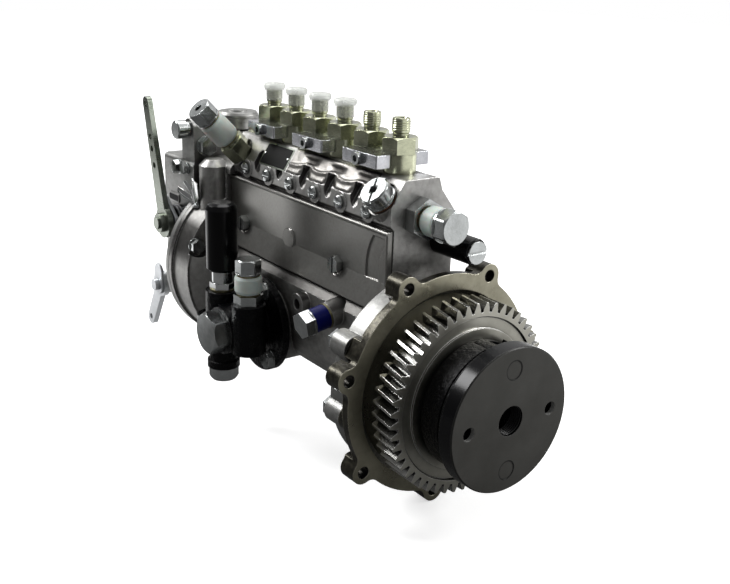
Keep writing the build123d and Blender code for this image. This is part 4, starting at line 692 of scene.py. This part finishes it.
def reliefRise(x, down):
    p, hollow, ridge, pit = shoulderRelief, longHollows, wavyRidge, roundHollows
    rise, arch = p["skin"], ridge["down"]
    for middle in p["middles"]:
        across = (x - middle - hollow["shift"]) / hollow["reach"][0]
        along = (down - hollow["down"]) / hollow["reach"][1]
        rise -= hollow["depth"] * math.exp(-across ** 4 - along ** 4)
        arch -= ridge["wave"] * math.exp(-((x - middle) / ridge["waveReach"]) ** 2)
    rise += ridge["height"] * math.exp(-((down - arch) / ridge["width"]) ** 2)
    for middle in p["middles"]:
        away = math.hypot((x - middle) / pit["reach"][0], (down - pit["down"]) / pit["reach"][1])
        rise = min(rise, pit["floor"] + pit["steep"] * max(0.0, away - pit["flat"]))
    low, high = p["xRange"]
    border = min(x - low, high - x, down, p["drop"] - down) / p["border"]
    return p["lowest"] + (rise - p["lowest"]) * min(1.0, max(0.0, border))


def overPocket(x, down):
    p = deepPockets
    return down > p["from"] and any(abs(x - middle) < p["half"] for middle in p["middles"])


def reliefShape():
    # closed thin shell, left open over the deep pockets
    p = shoulderRelief
    normal = Vector(p["normal"])
    columns, rows = p["columns"], p["rows"]
    low, high = p["xRange"]
    top, foot = (Vector((0, *p[end])) for end in ("top", "foot"))
    points = []
    for hollowShade in (False, True):
        for j in range(rows + 1):
            for i in range(columns + 1):
                x, share = low + (high - low) * i / columns, j / rows
                rise = p["back"] if hollowShade else reliefRise(x, p["drop"] * share)
                points.append(tuple(top.lerp(foot, share) + Vector((x, 0, 0)) + normal * rise))
    count = (columns + 1) * (rows + 1)
    kept = {(i, j) for i in range(columns) for j in range(rows)
            if not overPocket(low + (high - low) * (i + 0.5) / columns, p["drop"] * (j + 0.5) / rows)}
    faces = []
    for j in range(rows):
        for i in range(columns):
            if (i, j) not in kept:
                continue
            a = j * (columns + 1) + i
            ring = (a, a + 1, a + columns + 2, a + columns + 1)
            faces.append(ring)
            faces.append(tuple(v + count for v in ring[::-1]))
            for side, (di, dj) in enumerate(((0, -1), (1, 0), (0, 1), (-1, 0))):
                if (i + di, j + dj) not in kept:
                    first, second = ring[side], ring[(side + 1) % 4]
                    faces.append((first, second, second + count, first + count))
    return points, faces


# Blank plate with a pale rim and two rivets on the shoulder

nameplate = {"centre": (-178.5, -19.9, 123.9), "facing": (0, -17, 11), "width": 37.0, "height": 18.4,
             "corner": 1.6, "rim": 1.1, "rimTop": 0.35, "fieldCorner": 0.9, "fieldTop": 0.55,
             "rivetInset": 2.6, "rivet": 1.25}


def addNameplate():
    p = nameplate
    where = facingFrame(p["centre"], p["facing"])
    rim = roundedOutline(p["width"], p["height"], p["corner"])
    field = roundedOutline(p["width"] - 2 * p["rim"], p["height"] - 2 * p["rim"], p["fieldCorner"])
    addPiece("plate_rim", [(plateShape(rim, -0.6, p["rimTop"]), where)], "leverZinc",
             softEdge=0.12)
    addPiece("plate_field", [(plateShape(field, 0.1, p["fieldTop"]), where)], "plateBlack",
             softEdge=0.1)
    dome = [(0, 0.5), (p["rivet"], 0.5), (p["rivet"] * 0.8, 0.95), (p["rivet"] * 0.35, 1.15), (0, 1.18)]
    reach = p["width"] / 2 - p["rivetInset"]
    ends = [where @ Matrix.Translation((x, 0, 0)) for x in (-reach, reach)]
    addPiece("plate_rivets", [(turnedShape(dome, 20), end) for end in ends], "brightZinc")


# Spring clip on the drum, with its pin: a wing's rows stand at its foot, its knee and its tip

springClip = {"foot": (-261.0, -45.0, 70.6), "footRise": 4.0, "stand": 3.0, "thickness": 0.9,
              "wings": (((-271.0, 77.5), (-281.0, 82.0), 7.0), ((-257.0, 83.0), (-251.0, 95.0), 12.5),
                        ((-265.0, 84.0), (-269.0, 91.0), 6.5)),
              "footHalf": 2.2, "kneeShare": 0.5, "tipShare": 0.42, "out": (0.0, 1.5, 5.0),
              "crowns": (0.5, 1.6, 1.0),
              "pinTop": 79.0, "pinRadius": 3.2, "collar": (1.6, 2.2, 2.6)}


def wingShape(knee, tip, width):
    # creased strip that widens from its foot to the knee and turns outwards at the tip
    c = springClip
    x, y, z = c["foot"]
    foot = (x, z + c["footRise"])
    run = Vector((tip[0] - foot[0], 0, tip[1] - foot[1])).normalized()
    side = Vector((-run.z, 0, run.x))
    halves = (c["footHalf"], width * c["kneeShare"], width * c["tipShare"])
    points = []
    for back in (0.0, c["thickness"]):
        for (x, z), half, out, crown in zip((foot, knee, tip), halves, c["out"], c["crowns"]):
            for across, crease in ((-half, 0.0), (0.0, crown), (half, 0.0)):
                points.append(tuple(Vector((x, y - c["stand"] - out - crease + back, z)) + side * across))
    corners = [3 * row + column for row in range(2) for column in range(2)]
    faces = [(a, a + 1, a + 4, a + 3) for a in corners] + [(a + 9, a + 12, a + 13, a + 10) for a in corners]
    rim = [0, 1, 2, 5, 8, 7, 6, 3]
    faces += [(a, b, b + 9, a + 9) for a, b in zip(rim, rim[1:] + rim[:1])]
    return points, faces


def addSpringClip():
    c = springClip
    wings = [(wingShape(*wing), Matrix()) for wing in c["wings"]]
    addPiece("spring_clip", wings, "chromed", softEdge=0.2)
    pin = collaredProfile(0, c["pinRadius"], c["pinTop"] - c["foot"][2], c["collar"])
    addPiece("clip_pin", [(turnedShape(pin, 28), Matrix.Translation(c["foot"]))], "brightZinc")


# Small parts of the governor's side

squareNut = {"centre": (-274.0, -45.0, 64.0), "lean": 14.0, "side": 8.0, "corner": 0.6, "height": 6.0}


def addSideNut():
    n = squareNut
    outline = roundedOutline(n["side"], n["side"], n["corner"], 2)
    addPiece("side_nut", [(plateShape(outline, -0.2, n["height"]), sideFrame(n["centre"], n["lean"]))],
             "brightZinc", softEdge=0.5)


hubPlate = {"centre": (-294.0, -53.0, 52.0), "lean": 117.0, "length": 18.0, "radii": (13.4, 5.5),
            "thickness": 3.0, "pinRadius": 2.6, "pinFrom": 1.0, "pinTo": 5.0}
hubCoil = {"radius": 12.4, "wire": 1.3, "from": 47.4, "turns": 2}


def addHubBracket():
    h, k = hubPlate, hubCoil
    where = sideFrame(h["centre"], h["lean"])
    plate = plateShape(linkOutline(h["length"], *h["radii"]), 0, h["thickness"])
    pin = turnedShape(pinProfile(h["pinRadius"], h["pinFrom"], h["pinTo"]), 20)
    addPiece("hub_plate", [(plate, where), (pin, where @ Matrix.Translation((h["length"], 0, 0)))],
             "leverBright", softEdge=0.3)
    coil = turnedShape(arcPoints(k["radius"], 0, k["wire"], 0, 324, 9))
    x, _, z = h["centre"]
    turns = [sideFrame((x, -k["from"] - 2 * k["wire"] * i, z)) for i in range(k["turns"])]
    addPiece("hub_coil", [(coil, turn) for turn in turns], "springWire")


stopPlate = {"centre": (-304.0, -62.0, -5.0), "lean": 84.0, "length": 12.0, "radii": (8.5, 7.0),
             "thickness": 2.0, "nut": 9.0, "nutHeight": 3.4}


def addStopPlate():
    p = stopPlate
    where = sideFrame(p["centre"], p["lean"])
    plate = plateShape(linkOutline(p["length"], *p["radii"]), -0.2, p["thickness"])
    nut = plateShape(hexOutline(p["nut"]), p["thickness"] - 0.3, p["thickness"] + p["nutHeight"])
    addPiece("stop_plate", [(plate, where), (nut, where)], "leverBright", "stop_lever", softEdge=0.3)


sideSlot = {"centre": (-304.5, -45.0, 70.0), "width": 17.0, "height": 5.0, "corner": 1.8, "shadeTop": 0.98,
            "rim": 1.4, "rimCorner": 2.6, "rimTop": 0.9}


def addSideSlot():
    s = sideSlot
    where = sideFrame(s["centre"])
    rim = roundedOutline(s["width"] + 2 * s["rim"], s["height"] + 2 * s["rim"], s["rimCorner"])
    addPiece("slot_rim", [(plateShape(rim, -0.4, s["rimTop"]), where)], "castEnd",
             softEdge=0.5)
    gap = roundedOutline(s["width"], s["height"], s["corner"])
    addPiece("slot_shade", [(plateShape(gap, 0.2, s["shadeTop"]), where)], "plateBlack")


shaftBush = {"foot": (-294.0, -45.0, 52.0), "length": 12.0, "radius": 9.4, "bore": 5.6,
             "collar": (2.2, 2.6, 3.2)}


def addShaftBush():
    b = shaftBush
    bush = turnedShape(collaredProfile(b["bore"], b["radius"], b["length"], b["collar"]), 36)
    addPiece("shaft_bush", [(bush, sideFrame(b["foot"]))], "blackRubber")


addPiece("shoulder_relief", [(reliefShape(), Matrix())], "castShoulder")
addThreads()
addNameplate()
addSpringClip()
addSideNut()
addHubBracket()
addStopPlate()
addSideSlot()
addShaftBush()
print("trim pieces made")
